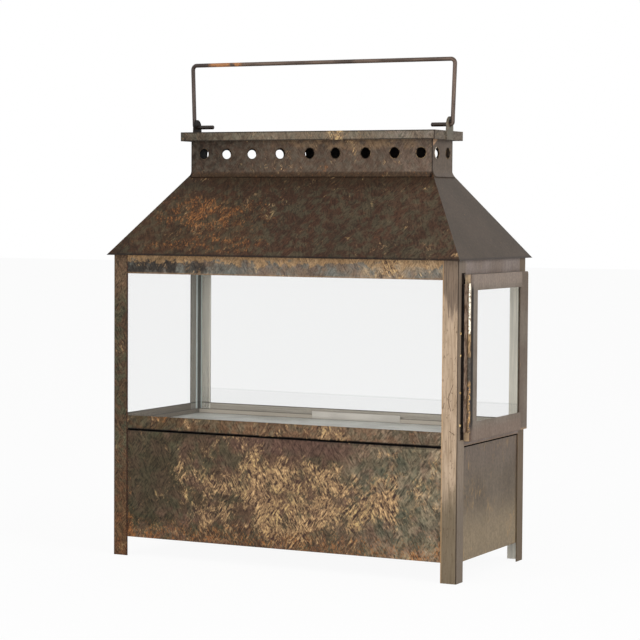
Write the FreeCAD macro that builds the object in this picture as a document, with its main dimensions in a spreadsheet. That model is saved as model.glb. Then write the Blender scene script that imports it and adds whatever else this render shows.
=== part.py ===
import FreeCAD, Part
import math
import os
import re
import Sketcher

# Sheet-metal candle lantern: a long glazed box on four angle posts, with a hipped
# roof, a collar punched with vent holes, a flat cap and a swinging bail handle.
# The glazed door is on the right-hand end. Millimetres, +Z up, +X along the long
# front from left to right, +Y from front to rear. The origin is the middle of the
# floor that the four feet stand on.

# Driving dimensions, with what each one is
SIZES = {
    "body_length": (420.0, "outside length of the box"),
    "body_depth": (189.0, "outside depth of the box"),
    "post_height": (338.0, "height of the corner posts, floor to eave"),
    "post_flange": (18.0, "leg width of the corner angles"),
    "frame_sheet": (1.2, "thickness of posts and rails"),
    "bend_radius": (1.5, "outside radius of a folded corner"),
    "fit_gap": (0.3, "clearance between pieces that move or drop in"),
    "cut_overrun": (5.0, "how far a cut runs past the sheet"),
    "panel_sheet": (0.8, "thickness of the four lower panels"),
    "panel_foot": (21.4, "height of the lower panels above the floor"),
    "panel_hem": (6.0, "height of the folded hem on a lower panel"),
    "shadow_gap": (1.8, "open line between a lower panel and the rail above it"),
    "sill_top": (158.5, "height of the top edge of the sill rails"),
    "sill_height": (15.0, "height of the sill rails"),
    "rail_ledge": (12.0, "depth of the inner ledge on each rail"),
    "head_height": (20.5, "height of the head rails under the eave"),
    "tray_sheet": (0.8, "thickness of the candle tray"),
    "tray_lip": (6.6, "height of the tray with its folded lip"),
    "glass_thick": (2.0, "thickness of every pane"),
    "glass_cover": (12.0, "how far a fixed pane runs behind the head rail"),
    "glass_corner_gap": (3.0, "space between two panes at a corner"),
    "tab_width": (12.0, "width of a glass tab"),
    "tab_sheet": (0.8, "thickness of a glass tab"),
    "tab_grip": (8.0, "how far a glass tab reaches down the pane"),
    "tab_foot": (6.0, "length of the soldered foot of a glass tab"),
    "keeper_length": (113.0, "length of the keeper plate at the rear pane"),
    "keeper_lift": (2.6, "height of the keeper plate above the tray's floor"),
    "keeper_height": (6.6, "height of the keeper plate"),
    "keeper_shift": (3.5, "how far the keeper plate sits right of the middle"),
    "roof_sheet": (1.0, "thickness of roof and collar"),
    "eave_side": (4.6, "roof overhang past the two ends"),
    "eave_front": (8.2, "roof overhang past front and rear"),
    "soffit_inset": (12.0, "how far the folded eave flange reaches in over the frame"),
    "roof_rise": (87.5, "height of the foot of the collar above the eave"),
    "roof_end_run": (62.2, "run of the roof's end slopes, from eave to collar foot"),
    "collar_depth_share": (0.28413, "depth of the collar as a share of the box's depth"),
    "foot_flare": (3.0, "how far the foot of the collar flares out"),
    "foot_lap": (3.0, "length of the foot that lies on the roof"),
    "roof_tuck": (2.0, "how far the roof runs on inside the collar"),
    "vent_rise": (26.5, "height of the row of vent holes above the collar's foot"),
    "vent_radius": (6.0, "radius of a vent hole"),
    "cap_rise": (50.7, "height of the top of the cap above the collar's foot"),
    "cap_skirt": (10.0, "depth of the folded edge of the cap"),
    "cap_sheet": (1.0, "thickness of the cap"),
    "cap_side": (7.3, "overhang of the cap past the ends of the collar"),
    "cap_front": (12.3, "overhang of the cap past the front of the collar"),
    "cap_corner": (1.2, "corner radius of the cap"),
    "ear_width": (18.0, "width of a bail ear where it is soldered to the cap"),
    "ear_sheet": (1.2, "thickness of a bail ear"),
    "ear_eye": (8.6, "radius of the rounded top of a bail ear"),
    "ear_shoulder": (1.6, "height of the ear's square part above the cap"),
    "bail_pivot": (6.8, "height of the bail pivot above the cap"),
    "bail_rod": (2.3, "radius of the bail rod"),
    "bail_play": (0.08, "radial play of the bail rod in its ear"),
    "bail_rise": (70.6, "height of the bail above its pivot, to the rod's centre"),
    "bail_spread": (2.4, "how much further out a leg of the bail stands at the top"),
    "bail_tail": (21.0, "length of the bail's inturned end past the ear"),
    "bail_heel": (2.6, "centre-line radius of the bend at the pivot"),
    "bail_corner": (4.8, "centre-line radius of the bends at the top"),
    "rod_end_bevel": (0.7, "bevel of the two rod ends"),
    "door_proud": (8.0, "how far the face of the door stands out from the box"),
    "door_sheet": (0.8, "thickness of the door frame"),
    "door_setback": (16.7, "from the front of the box to the hinge edge of the door"),
    "door_low_cover": (9.9, "how far the door laps down over the sill"),
    "door_top_cover": (6.0, "how far the door laps up over the head rail"),
    "hinge_stile": (16.0, "width of the stile at the hinge"),
    "closing_stile": (23.1, "width of the stile that closes on the rear post"),
    "closing_lap": (8.2, "how far the door laps over the rear post"),
    "stile_lap": (2.5, "how far the door's rails lap over the closing stile"),
    "door_top_rail": (16.8, "height of the top rail of the door"),
    "door_bottom_rail": (19.8, "height of the bottom rail of the door"),
    "door_corner": (3.5, "radius of the closing stile's top corner"),
    "door_glass_cover": (8.0, "how far the door's pane runs behind its frame"),
    "notch_start": (7.6, "width of post left beside the hinge notch"),
    "notch_below": (8.5, "how far the hinge notch runs down past the sill's top"),
    "notch_above": (7.5, "how far the hinge notch runs up past the head rail's foot"),
    "jamb_width": (22.0, "width of the jamb strip behind the hinge notch"),
    "hinge_foot": (9.7, "from the foot of the door to the foot of the hinge"),
    "hinge_head": (10.2, "from the top of the hinge to the top of the door"),
    "hinge_stand": (6.4, "distance of the hinge pin from the face of the box"),
    "leaf_sheet": (0.8, "thickness of the hinge leaves"),
    "leaf_inset": (0.4, "how far the door leaf stops short of the back of the door"),
    "leaf_seat": (2.6, "width of the fixed leaf where it lies on the jamb"),
    "knuckle_radius": (2.0, "outside radius of the hinge knuckles"),
    "knuckle_gap": (0.4, "gap between neighbouring knuckles"),
    "pin_radius": (1.2, "radius of the hinge pin"),
    "pin_play": (0.05, "radial play of the hinge pin in its knuckles"),
    "pin_head": (1.8, "radius of the head of the hinge pin"),
    "pin_head_height": (1.0, "height of the head of the hinge pin"),
    "bead_radius": (1.3, "radius of a solder bead at its foot"),
    "bead_crown": (0.7, "radius of a solder bead at its crown"),
    "bead_height": (0.8, "height of a solder bead"),
}

# Sizes worked out from the driving ones
DERIVED = {
    "half_x": "body_length / 2",
    "half_y": "body_depth / 2",
    "inner_x": "half_x - frame_sheet",
    "inner_y": "half_y - frame_sheet",
    "sill_low": "sill_top - sill_height",
    "ledge_top": "sill_low + frame_sheet",
    "head_low": "post_height - head_height",
    "head_ledge": "post_height - frame_sheet",
    "panel_top": "sill_low - shadow_gap",
    "tray_floor": "ledge_top + tray_sheet",
    "lip_top": "ledge_top + tray_lip",
    "tray_x": "inner_x - glass_thick - fit_gap",
    "tray_y": "inner_y - glass_thick - fit_gap",
    "glass_top": "head_low + glass_cover",
    "long_pane": "body_length - 2 * (frame_sheet + glass_thick + glass_corner_gap)",
    "short_pane": "body_depth - 2 * (frame_sheet + glass_thick + glass_corner_gap)",
    "eave_x": "half_x + eave_side",
    "eave_y": "half_y + eave_front",
    "seat_x": "eave_x - roof_end_run",
    "collar_x": "seat_x - foot_flare",
    "collar_y": "collar_depth_share * half_y",
    "seat_y": "collar_y + foot_flare",
    "collar_seat": "post_height + roof_rise",
    "vent_z": "collar_seat + vent_rise",
    "cap_top": "collar_seat + cap_rise",
    "collar_top": "cap_top - cap_sheet",
    "cap_low": "cap_top - cap_skirt",
    "cap_x": "collar_x + cap_side",
    "cap_y": "collar_y + cap_front",
    "pivot_z": "cap_top + bail_pivot",
    "bail_top": "pivot_z + bail_rise",
    "ear_outer": "cap_x + ear_sheet",
    "bail_foot": "ear_outer + fit_gap",
    "bail_tip": "cap_x - bail_tail",
    "leg_slope": "bail_spread / bail_rise",
    "leg_upright": "1 / sqrt(1 + leg_slope * leg_slope)",
    "leg_aside": "leg_slope * leg_upright",
    "leg_low_x": "bail_foot + bail_heel * leg_upright",
    "leg_low_z": "pivot_z + bail_heel * (1 - leg_aside)",
    "leg_high_z": "bail_top - bail_corner * (1 + leg_aside)",
    "leg_high_x": "leg_low_x + (leg_high_z - leg_low_z) * leg_slope",
    "bail_bend": "leg_high_x - bail_corner * leg_upright",
    "door_face": "half_x + door_proud",
    "door_back": "half_x + fit_gap",
    "door_front": "door_setback - half_y",
    "door_rear": "half_y - post_flange + closing_lap",
    "door_low": "sill_top - door_low_cover",
    "door_top": "head_low + door_top_cover",
    "notch_low": "sill_top - notch_below",
    "notch_high": "head_low + notch_above",
    "opening_front": "door_front + hinge_stile",
    "opening_rear": "door_rear - closing_stile",
    "opening_low": "door_low + door_bottom_rail",
    "opening_high": "door_top - door_top_rail",
    "pane_face": "door_face - 2 * door_sheet",
    "pane_back": "pane_face - glass_thick",
    "pane_low": "opening_low - door_glass_cover",
    "pane_high": "opening_high + door_glass_cover",
    "pin_x": "half_x + hinge_stand",
    "pin_y": "door_front - knuckle_radius",
    "hinge_low": "door_low + hinge_foot",
    "hinge_high": "door_top - hinge_head",
    "hinge_length": "hinge_high - hinge_low",
    "leaf_start": "pin_y + leaf_sheet / 2 - leaf_seat",
    "bore_radius": "pin_radius + pin_play",
}

# Each side: distance of its face from the middle, half its run, and its turn
# about the vertical. Every side is drawn as if it were the front.
SIDES = {
    "front": {"across": "y", "along": "x", "turn": 0},
    "right": {"across": "x", "along": "y", "turn": 90},
    "rear": {"across": "y", "along": "x", "turn": 180},
    "left": {"across": "x", "along": "y", "turn": 270},
}

# Places of the vent holes, as shares of half the wall's length, from left to
# right as seen from outside. They were punched by hand, so they aren't even.
VENT_SHARES = {
    "front": (-0.889, -0.693, -0.477, -0.238, 0.007, 0.220, 0.465, 0.698, 0.908),
    "rear": (-0.843, -0.639, -0.412, -0.167, 0.064, 0.244, 0.435, 0.673, 0.895),
    "right": (-0.580, 0.550),
    "left": (-0.540, 0.570),
}

# Knuckles of the hinge from bottom to top, as shares of its length
KNUCKLES = (
    {"owner": "door", "from_share": 0.0, "to_share": 0.35},
    {"owner": "post", "from_share": 0.35, "to_share": 0.51},
    {"owner": "door", "from_share": 0.51, "to_share": 0.67},
    {"owner": "post", "from_share": 0.67, "to_share": 1.0},
)

# Places of tabs and beads, as shares of the length that carries them
LONG_TAB_SHARES = (-0.55, 0.55)
SHORT_TAB_SHARES = (0.0,)
DOOR_TAB_SHARES = (0.2, 0.8)
BEAD_SHARES = (0.05, 0.27, 0.52, 0.67)

QUARTER_TURN = 90

doc = FreeCAD.newDocument("lantern")
sheet = doc.addObject("Spreadsheet::Sheet", "Sizes")
for row, (alias, (number, meaning)) in enumerate(SIZES.items(), start=1):
    sheet.set(f"A{row}", str(number))
    sheet.set(f"B{row}", meaning)
    sheet.setAlias(f"A{row}", alias)
doc.recompute()

nodes = []


def bind(text):
    """An expression on the sheet's cells, with every derived size written out."""
    def word(match):
        name = match.group(0)
        if name in SIZES:
            return "Sizes." + name
        if name in DERIVED:
            return "(" + bind(DERIVED[name]) + ")"
        return name
    return re.sub(r"[A-Za-z_]\w*", word, text)


def size(text):
    """The present value of an expression."""
    return float(sheet.evalExpression(bind(text)))


def keep(piece, label):
    """Give a sub-part its name and put it on the list of nodes."""
    piece.Label = label
    nodes.append(piece)
    return piece


def new_body(label):
    return doc.addObject("PartDesign::Body", label)


def place(piece, x="0", y="0", z="0", turn=0):
    """Stand a piece at x, y, z, turned about the vertical."""
    axis = FreeCAD.Vector(0, 0, 1)
    piece.Placement = FreeCAD.Placement(FreeCAD.Vector(), FreeCAD.Rotation(axis, turn))
    for letter, text in zip("xyz", (x, y, z)):
        piece.setExpression(f"Placement.Base.{letter}", bind(text))
    return piece


def new_sketch(body, name, plane, lift="0"):
    """A sketch on one of the body's own planes, lifted along its normal."""
    sketch = body.newObject("Sketcher::SketchObject", name)
    face = [item for item in body.Origin.OriginFeatures if item.Role == plane][0]
    sketch.AttachmentSupport = (face, [""])
    sketch.MapMode = "FlatFace"
    sketch.setExpression("AttachmentOffset.Base.z", bind(lift))
    return sketch


def fix_point(sketch, geometry, end, point):
    """Hold one end of a line or arc at a point given by two expressions."""
    for kind, text in zip(("DistanceX", "DistanceY"), point):
        rule = Sketcher.Constraint(kind, -1, 1, geometry, end, size(text))
        index = sketch.addConstraint(rule)
        sketch.setExpression(f"Constraints[{index}]", bind(text))


def arc_between(start, end, radius, side):
    """An arc of a given radius; side is 1 where it turns left, -1 where right.
    A sketch keeps every arc anticlockwise, so a right turn is drawn from its end."""
    if side < 0:
        start, end = end, start
    chord = end - start
    reach = math.sqrt(max(radius ** 2 - (chord.Length / 2) ** 2, 0))
    normal = FreeCAD.Vector(-chord.y, chord.x, 0)
    normal.normalize()
    centre = (start + end) * 0.5 + normal * reach
    angles = [math.atan2(spot.y - centre.y, spot.x - centre.x) for spot in (start, end)]
    full = Part.Circle(centre, FreeCAD.Vector(0, 0, 1), radius)
    return Part.ArcOfCircle(full, *angles)


def outline(sketch, points, arcs=None, closed=True):
    """Draw a run of lines through points. arcs names the runs that are round:
    their number, with a radius and the side they turn to."""
    arcs = arcs or {}
    spots = [FreeCAD.Vector(size(x), size(y), 0) for x, y in points]
    first = sketch.GeometryCount
    runs = len(points) if closed else len(points) - 1
    ends = []
    for run in range(runs):
        start, end = spots[run], spots[(run + 1) % len(spots)]
        if run not in arcs:
            sketch.addGeometry(Part.LineSegment(start, end))
            ends.append((1, 2))
            continue
        radius, side = arcs[run]
        sketch.addGeometry(arc_between(start, end, size(radius), side))
        ends.append((1, 2) if side > 0 else (2, 1))
    for run in range(runs):
        fix_point(sketch, first + run, ends[run][0], points[run])
        following = (run + 1) % runs
        if closed or run + 1 < runs:
            rule = ("Coincident", first + run, ends[run][1], first + following, ends[following][0])
            sketch.addConstraint(Sketcher.Constraint(*rule))
        if run in arcs:
            rule = Sketcher.Constraint("Radius", first + run, size(arcs[run][0]))
            index = sketch.addConstraint(rule)
            sketch.setExpression(f"Constraints[{index}]", bind(arcs[run][0]))
    if not closed:
        fix_point(sketch, first + runs - 1, ends[-1][1], points[-1])
    return sketch


def rectangle(sketch, low_x, low_y, high_x, high_y):
    corners = [(low_x, low_y), (high_x, low_y), (high_x, high_y), (low_x, high_y)]
    return outline(sketch, corners)


def circle(sketch, x, y, radius):
    centre = FreeCAD.Vector(size(x), size(y), 0)
    index = sketch.addGeometry(Part.Circle(centre, FreeCAD.Vector(0, 0, 1), size(radius)))
    fix_point(sketch, index, 3, (x, y))
    rule = sketch.addConstraint(Sketcher.Constraint("Radius", index, size(radius)))
    sketch.setExpression(f"Constraints[{rule}]", bind(radius))
    return sketch


def pad(body, sketch, length, symmetric=False):
    feature = body.newObject("PartDesign::Pad", sketch.Name + "_pad")
    feature.Profile = sketch
    feature.SideType = "Symmetric" if symmetric else "One side"
    feature.setExpression("Length", bind(length))
    return feature


def cut(body, sketch, length=None, reverse=False):
    """Pocket a sketch: right through both ways, or to a depth one way."""
    feature = body.newObject("PartDesign::Pocket", sketch.Name + "_cut")
    feature.Profile = sketch
    if length is None:
        feature.SideType = "Symmetric"
        feature.Type = "ThroughAll"
    else:
        feature.Type = "Length"
        feature.Reversed = reverse
        feature.setExpression("Length", bind(length))
    return feature


def wanted_edges(body, wanted):
    """The body's last feature, with the names of its edges that are wanted."""
    doc.recompute()
    edges = enumerate(body.Tip.Shape.Edges, start=1)
    return (body.Tip, [f"Edge{i}" for i, edge in edges if wanted(edge)])


def round_edges(body, radius, wanted):
    """Fillet the edges for which wanted(edge) is true."""
    base = wanted_edges(body, wanted)
    feature = body.newObject("PartDesign::Fillet", body.Name + "_bend")
    feature.Base = base
    feature.setExpression("Radius", bind(radius))
    return feature


def upright_at(x, y):
    """True for a vertical edge at x, y of the body's own frame."""
    spot = FreeCAD.Vector(size(x), size(y), 0)

    def wanted(edge):
        ends = [FreeCAD.Vector(v.X, v.Y, 0) for v in edge.Vertexes]
        return len(ends) == 2 and all(e.distanceToPoint(spot) < size("fit_gap") / 10 for e in ends)
    return wanted


def group(label, members):
    """Several separate solids that share one node."""
    whole = doc.addObject("Part::Compound", label)
    whole.Links = members
    return keep(whole, label)


# Frame: posts and rails

def corner_post(label, x, y, turn, hinged=False):
    """A folded angle. Its corner is the body's own origin, its legs run along
    +X and +Y, and the turn brings them to the corner of the box."""
    body = new_body(label)
    section = new_sketch(body, label + "_section", "XY_Plane")
    outline(section, [
        ("0", "0"),
        ("post_flange", "0"),
        ("post_flange", "frame_sheet"),
        ("frame_sheet", "frame_sheet"),
        ("frame_sheet", "post_flange"),
        ("0", "post_flange"),
    ])
    pad(body, section, "post_height")
    round_edges(body, "bend_radius", upright_at("0", "0"))
    if hinged:
        notch = new_sketch(body, label + "_notch", "XZ_Plane")
        rectangle(notch, "notch_start", "notch_low", "post_flange + cut_overrun", "notch_high")
        cut(body, notch)
    return keep(place(body, x, y, "0", turn), label)


def angle_rail(label, side, low, high, ledge_low):
    """A folded angle between two posts, with its ledge turned inwards."""
    across, along = "half_" + side["across"], "body_length" if side["along"] == "x" else "body_depth"
    face, back, ledge = f"-{across}", f"frame_sheet - {across}", f"rail_ledge - {across}"
    body = new_body(label)
    section = new_sketch(body, label + "_section", "YZ_Plane")
    if ledge_low:
        points = [
            (face, low),
            (ledge, low),
            (ledge, f"{low} + frame_sheet"),
            (back, f"{low} + frame_sheet"),
            (back, high),
            (face, high),
        ]
    else:
        points = [
            (face, low),
            (back, low),
            (back, f"{high} - frame_sheet"),
            (ledge, f"{high} - frame_sheet"),
            (ledge, high),
            (face, high),
        ]
    outline(section, points)
    pad(body, section, f"{along} - 2 * post_flange", symmetric=True)
    return keep(place(body, turn=side["turn"]), label)


corner_post("post_front_left", "-half_x", "-half_y", 0)
corner_post("post_front_right", "half_x", "-half_y", QUARTER_TURN, hinged=True)
corner_post("post_rear_right", "half_x", "half_y", 2 * QUARTER_TURN)
corner_post("post_rear_left", "-half_x", "half_y", 3 * QUARTER_TURN)

for name, side in SIDES.items():
    angle_rail("sill_rail_" + name, side, "sill_low", "sill_top", ledge_low=True)
    angle_rail("head_rail_" + name, side, "head_low", "post_height", ledge_low=False)


# Lower panels, each a sheet soldered behind the posts, with a folded hem

def lower_panel(label, side):
    across = "inner_" + side["across"]
    half_run = "inner_" + side["along"]
    if side["along"] == "y":
        half_run += " - panel_sheet"
    body = new_body(label)
    skin = new_sketch(body, label + "_sheet", "YZ_Plane")
    rectangle(skin, f"-{across}", "panel_foot", f"panel_sheet - {across}", "panel_top")
    pad(body, skin, f"2 * ({half_run})", symmetric=True)
    hem = new_sketch(body, label + "_hem", "YZ_Plane")
    rectangle(hem, f"panel_sheet - {across}", "panel_foot",
              f"2 * panel_sheet - {across}", "panel_foot + panel_hem")
    pad(body, hem, f"2 * ({half_run} - panel_hem)", symmetric=True)
    return keep(place(body, turn=side["turn"]), label)


for name, side in SIDES.items():
    lower_panel("panel_" + name, side)


# Candle tray on the ledges of the sill rails; its lip keeps the panes in

tray = new_body("candle_tray")
tray_plan = new_sketch(tray, "tray_plan", "XY_Plane", "ledge_top")
rectangle(tray_plan, "-tray_x", "-tray_y", "tray_x", "tray_y")
pad(tray, tray_plan, "tray_lip")
tray_well = new_sketch(tray, "tray_well", "XY_Plane", "lip_top")
rectangle(tray_well, "tray_sheet - tray_x", "tray_sheet - tray_y",
          "tray_x - tray_sheet", "tray_y - tray_sheet")
cut(tray, tray_well, "tray_lip - tray_sheet")
keep(tray, "candle_tray")


# Fixed panes, standing on the ledges behind the posts

def sheet_box(label, spans):
    """A flat rectangular piece: low and high expressions along X, Y and Z."""
    box = doc.addObject("Part::Box", label)
    for side_name, letter, (low, high) in zip(("Length", "Width", "Height"), "xyz", spans):
        box.setExpression(side_name, bind(f"({high}) - ({low})"))
        box.setExpression(f"Placement.Base.{letter}", bind(low))
    return keep(box, label)


sheet_box("glass_front", (("-long_pane / 2", "long_pane / 2"),
                          ("-inner_y", "glass_thick - inner_y"),
                          ("ledge_top", "glass_top")))
sheet_box("glass_rear", (("-long_pane / 2", "long_pane / 2"),
                         ("inner_y - glass_thick", "inner_y"),
                         ("ledge_top", "glass_top")))
sheet_box("glass_left", (("-inner_x", "glass_thick - inner_x"),
                         ("-short_pane / 2", "short_pane / 2"),
                         ("ledge_top", "glass_top")))


def glass_tab(name, side, share):
    """A bent tab soldered under the head rail, its leg down behind the pane."""
    pane = f"(glass_thick - inner_{side['across']})"
    body = new_body(name)
    section = new_sketch(body, name + "_section", "YZ_Plane", f"{share} * half_{side['along']}")
    outline(section, [
        (pane, "glass_top - tab_grip"),
        (f"{pane} + tab_sheet", "glass_top - tab_grip"),
        (f"{pane} + tab_sheet", "head_ledge - tab_sheet"),
        (f"{pane} + tab_foot", "head_ledge - tab_sheet"),
        (f"{pane} + tab_foot", "head_ledge"),
        (pane, "head_ledge"),
    ])
    pad(body, section, "tab_width", symmetric=True)
    return place(body, turn=side["turn"])


tabs = []
for name, shares in (("front", LONG_TAB_SHARES), ("rear", LONG_TAB_SHARES), ("left", SHORT_TAB_SHARES)):
    for number, share in enumerate(shares, start=1):
        tabs.append(glass_tab(f"tab_{name}_{number}", SIDES[name], share))
group("glass_tabs", tabs)

sheet_box("glass_keeper", (("keeper_shift - keeper_length / 2", "keeper_shift + keeper_length / 2"),
                           ("tray_y - tray_sheet - tab_sheet", "tray_y - tray_sheet"),
                           ("tray_floor + keeper_lift", "tray_floor + keeper_lift + keeper_height")))
sheet_box("door_jamb", (("inner_x - door_sheet", "inner_x"),
                        ("-inner_y", "jamb_width - half_y"),
                        ("ledge_top", "head_ledge")))


# Roof: four mitred sheets, each with an eave flange folded in over the frame

def slope(side):
    """Run, sine and cosine of a roof sheet, as expressions."""
    run = f"(eave_{side['across']} - seat_{side['across']})"
    length = f"sqrt({run} ^ 2 + roof_rise ^ 2)"
    return run, f"(roof_rise / {length})", f"({run} / {length})"


def roof_sheet(label, side):
    run, sine, cosine = slope(side)
    across, along = side["across"], side["along"]
    eave, seat = f"eave_{across}", f"seat_{across}"
    tail = "(foot_lap + roof_tuck)"
    soffit = f"(eave_{across} - half_{across} + soffit_inset)"
    body = new_body(label)
    section = new_sketch(body, label + "_section", "YZ_Plane")
    outline(section, [
        (f"-{eave}", "post_height"),
        (f"{soffit} - {eave}", "post_height"),
        (f"{soffit} - {eave}", "post_height + roof_sheet"),
        (f"roof_sheet * (1 + {cosine}) / {sine} - {eave}", "post_height + roof_sheet"),
        (f"{tail} * {cosine} + roof_sheet * {sine} - {seat}",
         f"collar_seat + {tail} * {sine} - roof_sheet * {cosine}"),
        (f"{tail} * {cosine} - {seat}", f"collar_seat + {tail} * {sine}"),
    ])
    pad(body, section, f"2 * eave_{along}", symmetric=True)
    hips = new_sketch(body, label + "_hips", "XY_Plane")
    lean = f"((eave_{along} - seat_{along}) / {run})"
    top = f"seat_{along} - {tail} * {lean}"
    for sign in ("", "-"):
        outline(hips, [
            (f"{sign}(eave_{along})", f"-{eave}"),
            (f"{sign}(eave_{along} + cut_overrun)", f"-{eave}"),
            (f"{sign}(eave_{along} + cut_overrun)", f"{tail} - {seat}"),
            (f"{sign}({top})", f"{tail} - {seat}"),
        ])
    cut(body, hips)
    return keep(place(body, turn=side["turn"]), label)


for name, side in SIDES.items():
    roof_sheet("roof_" + name, side)


# Collar: four walls with flared feet that lie on the roof, and punched vents

def collar_wall(label, side, vent_shares):
    run, sine, cosine = slope(side)
    across = side["across"]
    wall = f"collar_{across}"
    inner_arc = f"((foot_flare + roof_sheet - foot_lap * {cosine}) / (1 - {sine}))"
    outer_arc = f"({inner_arc} - roof_sheet)"
    bend = f"(collar_seat + foot_lap * {sine} + {inner_arc} * {cosine})"
    centre = f"(-{wall} - {outer_arc})"
    half_run = "collar_x" if side["along"] == "x" else "(collar_y - roof_sheet)"
    body = new_body(label)
    section = new_sketch(body, label + "_section", "YZ_Plane")
    outline(section, [
        (f"-{wall}", "collar_top"),
        (f"-{wall}", bend),
        (f"{centre} + {outer_arc} * {sine}", f"{bend} - {outer_arc} * {cosine}"),
        (f"{centre} + {outer_arc} * {sine} - foot_lap * {cosine}",
         f"{bend} - {outer_arc} * {cosine} - foot_lap * {sine}"),
        (f"-seat_{across}", "collar_seat"),
        (f"foot_lap * {cosine} - seat_{across}", f"collar_seat + foot_lap * {sine}"),
        (f"roof_sheet - {wall}", bend),
        (f"roof_sheet - {wall}", "collar_top"),
    ], arcs={1: (outer_arc, -1), 5: (inner_arc, 1)})
    pad(body, section, f"2 * {half_run}", symmetric=True)
    vents = new_sketch(body, label + "_vents", "XZ_Plane")
    for share in vent_shares:
        circle(vents, f"{share} * {half_run}", "vent_z", "vent_radius")
    cut(body, vents)
    return keep(place(body, turn=side["turn"]), label)


for name, side in SIDES.items():
    collar_wall("collar_" + name, side, VENT_SHARES[name])


# Cap, a shallow folded lid on the collar

cap = new_body("cap")
cap_plan = new_sketch(cap, "cap_plan", "XY_Plane", "cap_low")
rectangle(cap_plan, "-cap_x", "-cap_y", "cap_x", "cap_y")
pad(cap, cap_plan, "cap_skirt")


def upright(edge):
    ends = [vertex.Point for vertex in edge.Vertexes]
    return len(ends) == 2 and abs((ends[1] - ends[0]).z) > size("cap_skirt") / 2


round_edges(cap, "cap_corner", upright)
cap_hollow = new_sketch(cap, "cap_hollow", "XY_Plane", "cap_low")
rectangle(cap_hollow, "cap_sheet - cap_x", "cap_sheet - cap_y", "cap_x - cap_sheet", "cap_y - cap_sheet")
cut(cap, cap_hollow, "cap_skirt - cap_sheet", reverse=True)
keep(cap, "cap")


# Bail: two ears on the ends of the cap, and a bent rod that swings in them

def bail_ear(label, turn):
    body = new_body(label)
    plate = new_sketch(body, label + "_plate", "YZ_Plane", "cap_x")
    outline(plate, [
        ("-ear_width / 2", "cap_low"),
        ("ear_width / 2", "cap_low"),
        ("ear_width / 2", "cap_top + ear_shoulder"),
        ("ear_eye", "pivot_z"),
        ("0", "pivot_z + ear_eye"),
        ("-ear_eye", "pivot_z"),
        ("-ear_width / 2", "cap_top + ear_shoulder"),
    ], arcs={3: ("ear_eye", 1), 4: ("ear_eye", 1)})
    pad(body, plate, "ear_sheet")
    eye = new_sketch(body, label + "_eye", "YZ_Plane", "cap_x")
    circle(eye, "0", "pivot_z", "bail_rod + bail_play")
    cut(body, eye)
    return keep(place(body, turn=turn), label)


bail_ear("bail_ear_right", 0)
bail_ear("bail_ear_left", 2 * QUARTER_TURN)

bail = new_body("bail")
route = new_sketch(bail, "bail_route", "XZ_Plane")
outline(route, [
    ("-bail_tip", "pivot_z"),
    ("-bail_foot", "pivot_z"),
    ("-leg_low_x", "leg_low_z"),
    ("-leg_high_x", "leg_high_z"),
    ("-bail_bend", "bail_top"),
    ("bail_bend", "bail_top"),
    ("leg_high_x", "leg_high_z"),
    ("leg_low_x", "leg_low_z"),
    ("bail_foot", "pivot_z"),
    ("bail_tip", "pivot_z"),
], arcs={1: ("bail_heel", -1), 3: ("bail_corner", -1), 5: ("bail_corner", -1), 7: ("bail_heel", -1)},
    closed=False)
rod = new_sketch(bail, "bail_section", "YZ_Plane", "-bail_tip")
circle(rod, "0", "pivot_z", "bail_rod")
doc.recompute()
sweep = bail.newObject("PartDesign::AdditivePipe", "bail_sweep")
sweep.Profile = rod
sweep.Spine = (route, [f"Edge{i}" for i in range(1, len(route.Shape.Edges) + 1)])


def rod_end(edge):
    """True for the two rims of the rod's ends."""
    box = edge.BoundBox
    return box.XLength < size("bail_play") and abs(abs(box.XMax) - size("bail_tip")) < size("bail_play")


rod_rims = wanted_edges(bail, rod_end)
bevel = bail.newObject("PartDesign::Chamfer", "bail_bevel")
bevel.Base = rod_rims
bevel.setExpression("Size", bind("rod_end_bevel"))
keep(bail, "bail")


# Door: two stiles and two rails of folded sheet round a pane

hinge_stile = new_body("door_hinge_stile")
stile_plan = new_sketch(hinge_stile, "hinge_stile_plan", "XY_Plane", "door_low")
outline(stile_plan, [
    ("door_back", "door_front"),
    ("door_face", "door_front"),
    ("door_face", "opening_front"),
    ("door_face - door_sheet", "opening_front"),
    ("door_face - door_sheet", "door_front + door_sheet"),
    ("door_back", "door_front + door_sheet"),
])
pad(hinge_stile, stile_plan, "door_top - door_low")
round_edges(hinge_stile, "door_sheet", upright_at("door_face", "door_front"))
keep(hinge_stile, "door_hinge_stile")

closing_stile = new_body("door_closing_stile")
closing_plan = new_sketch(closing_stile, "closing_stile_plan", "XY_Plane", "door_low")
outline(closing_plan, [
    ("door_face - 2 * door_sheet", "opening_rear"),
    ("door_face - door_sheet", "opening_rear"),
    ("door_face - door_sheet", "door_rear"),
    ("door_back", "door_rear"),
    ("door_back", "door_rear - door_sheet"),
    ("door_face - 2 * door_sheet", "door_rear - door_sheet"),
])
pad(closing_stile, closing_plan, "door_top - door_low")
corner = new_sketch(closing_stile, "closing_stile_corner", "YZ_Plane")
outline(corner, [
    ("door_rear - door_corner", "door_top"),
    ("door_rear", "door_top - door_corner"),
    ("door_rear + cut_overrun", "door_top - door_corner"),
    ("door_rear + cut_overrun", "door_top + cut_overrun"),
    ("door_rear - door_corner", "door_top + cut_overrun"),
], arcs={0: ("door_corner", -1)})
cut(closing_stile, corner)
keep(closing_stile, "door_closing_stile")


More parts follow.
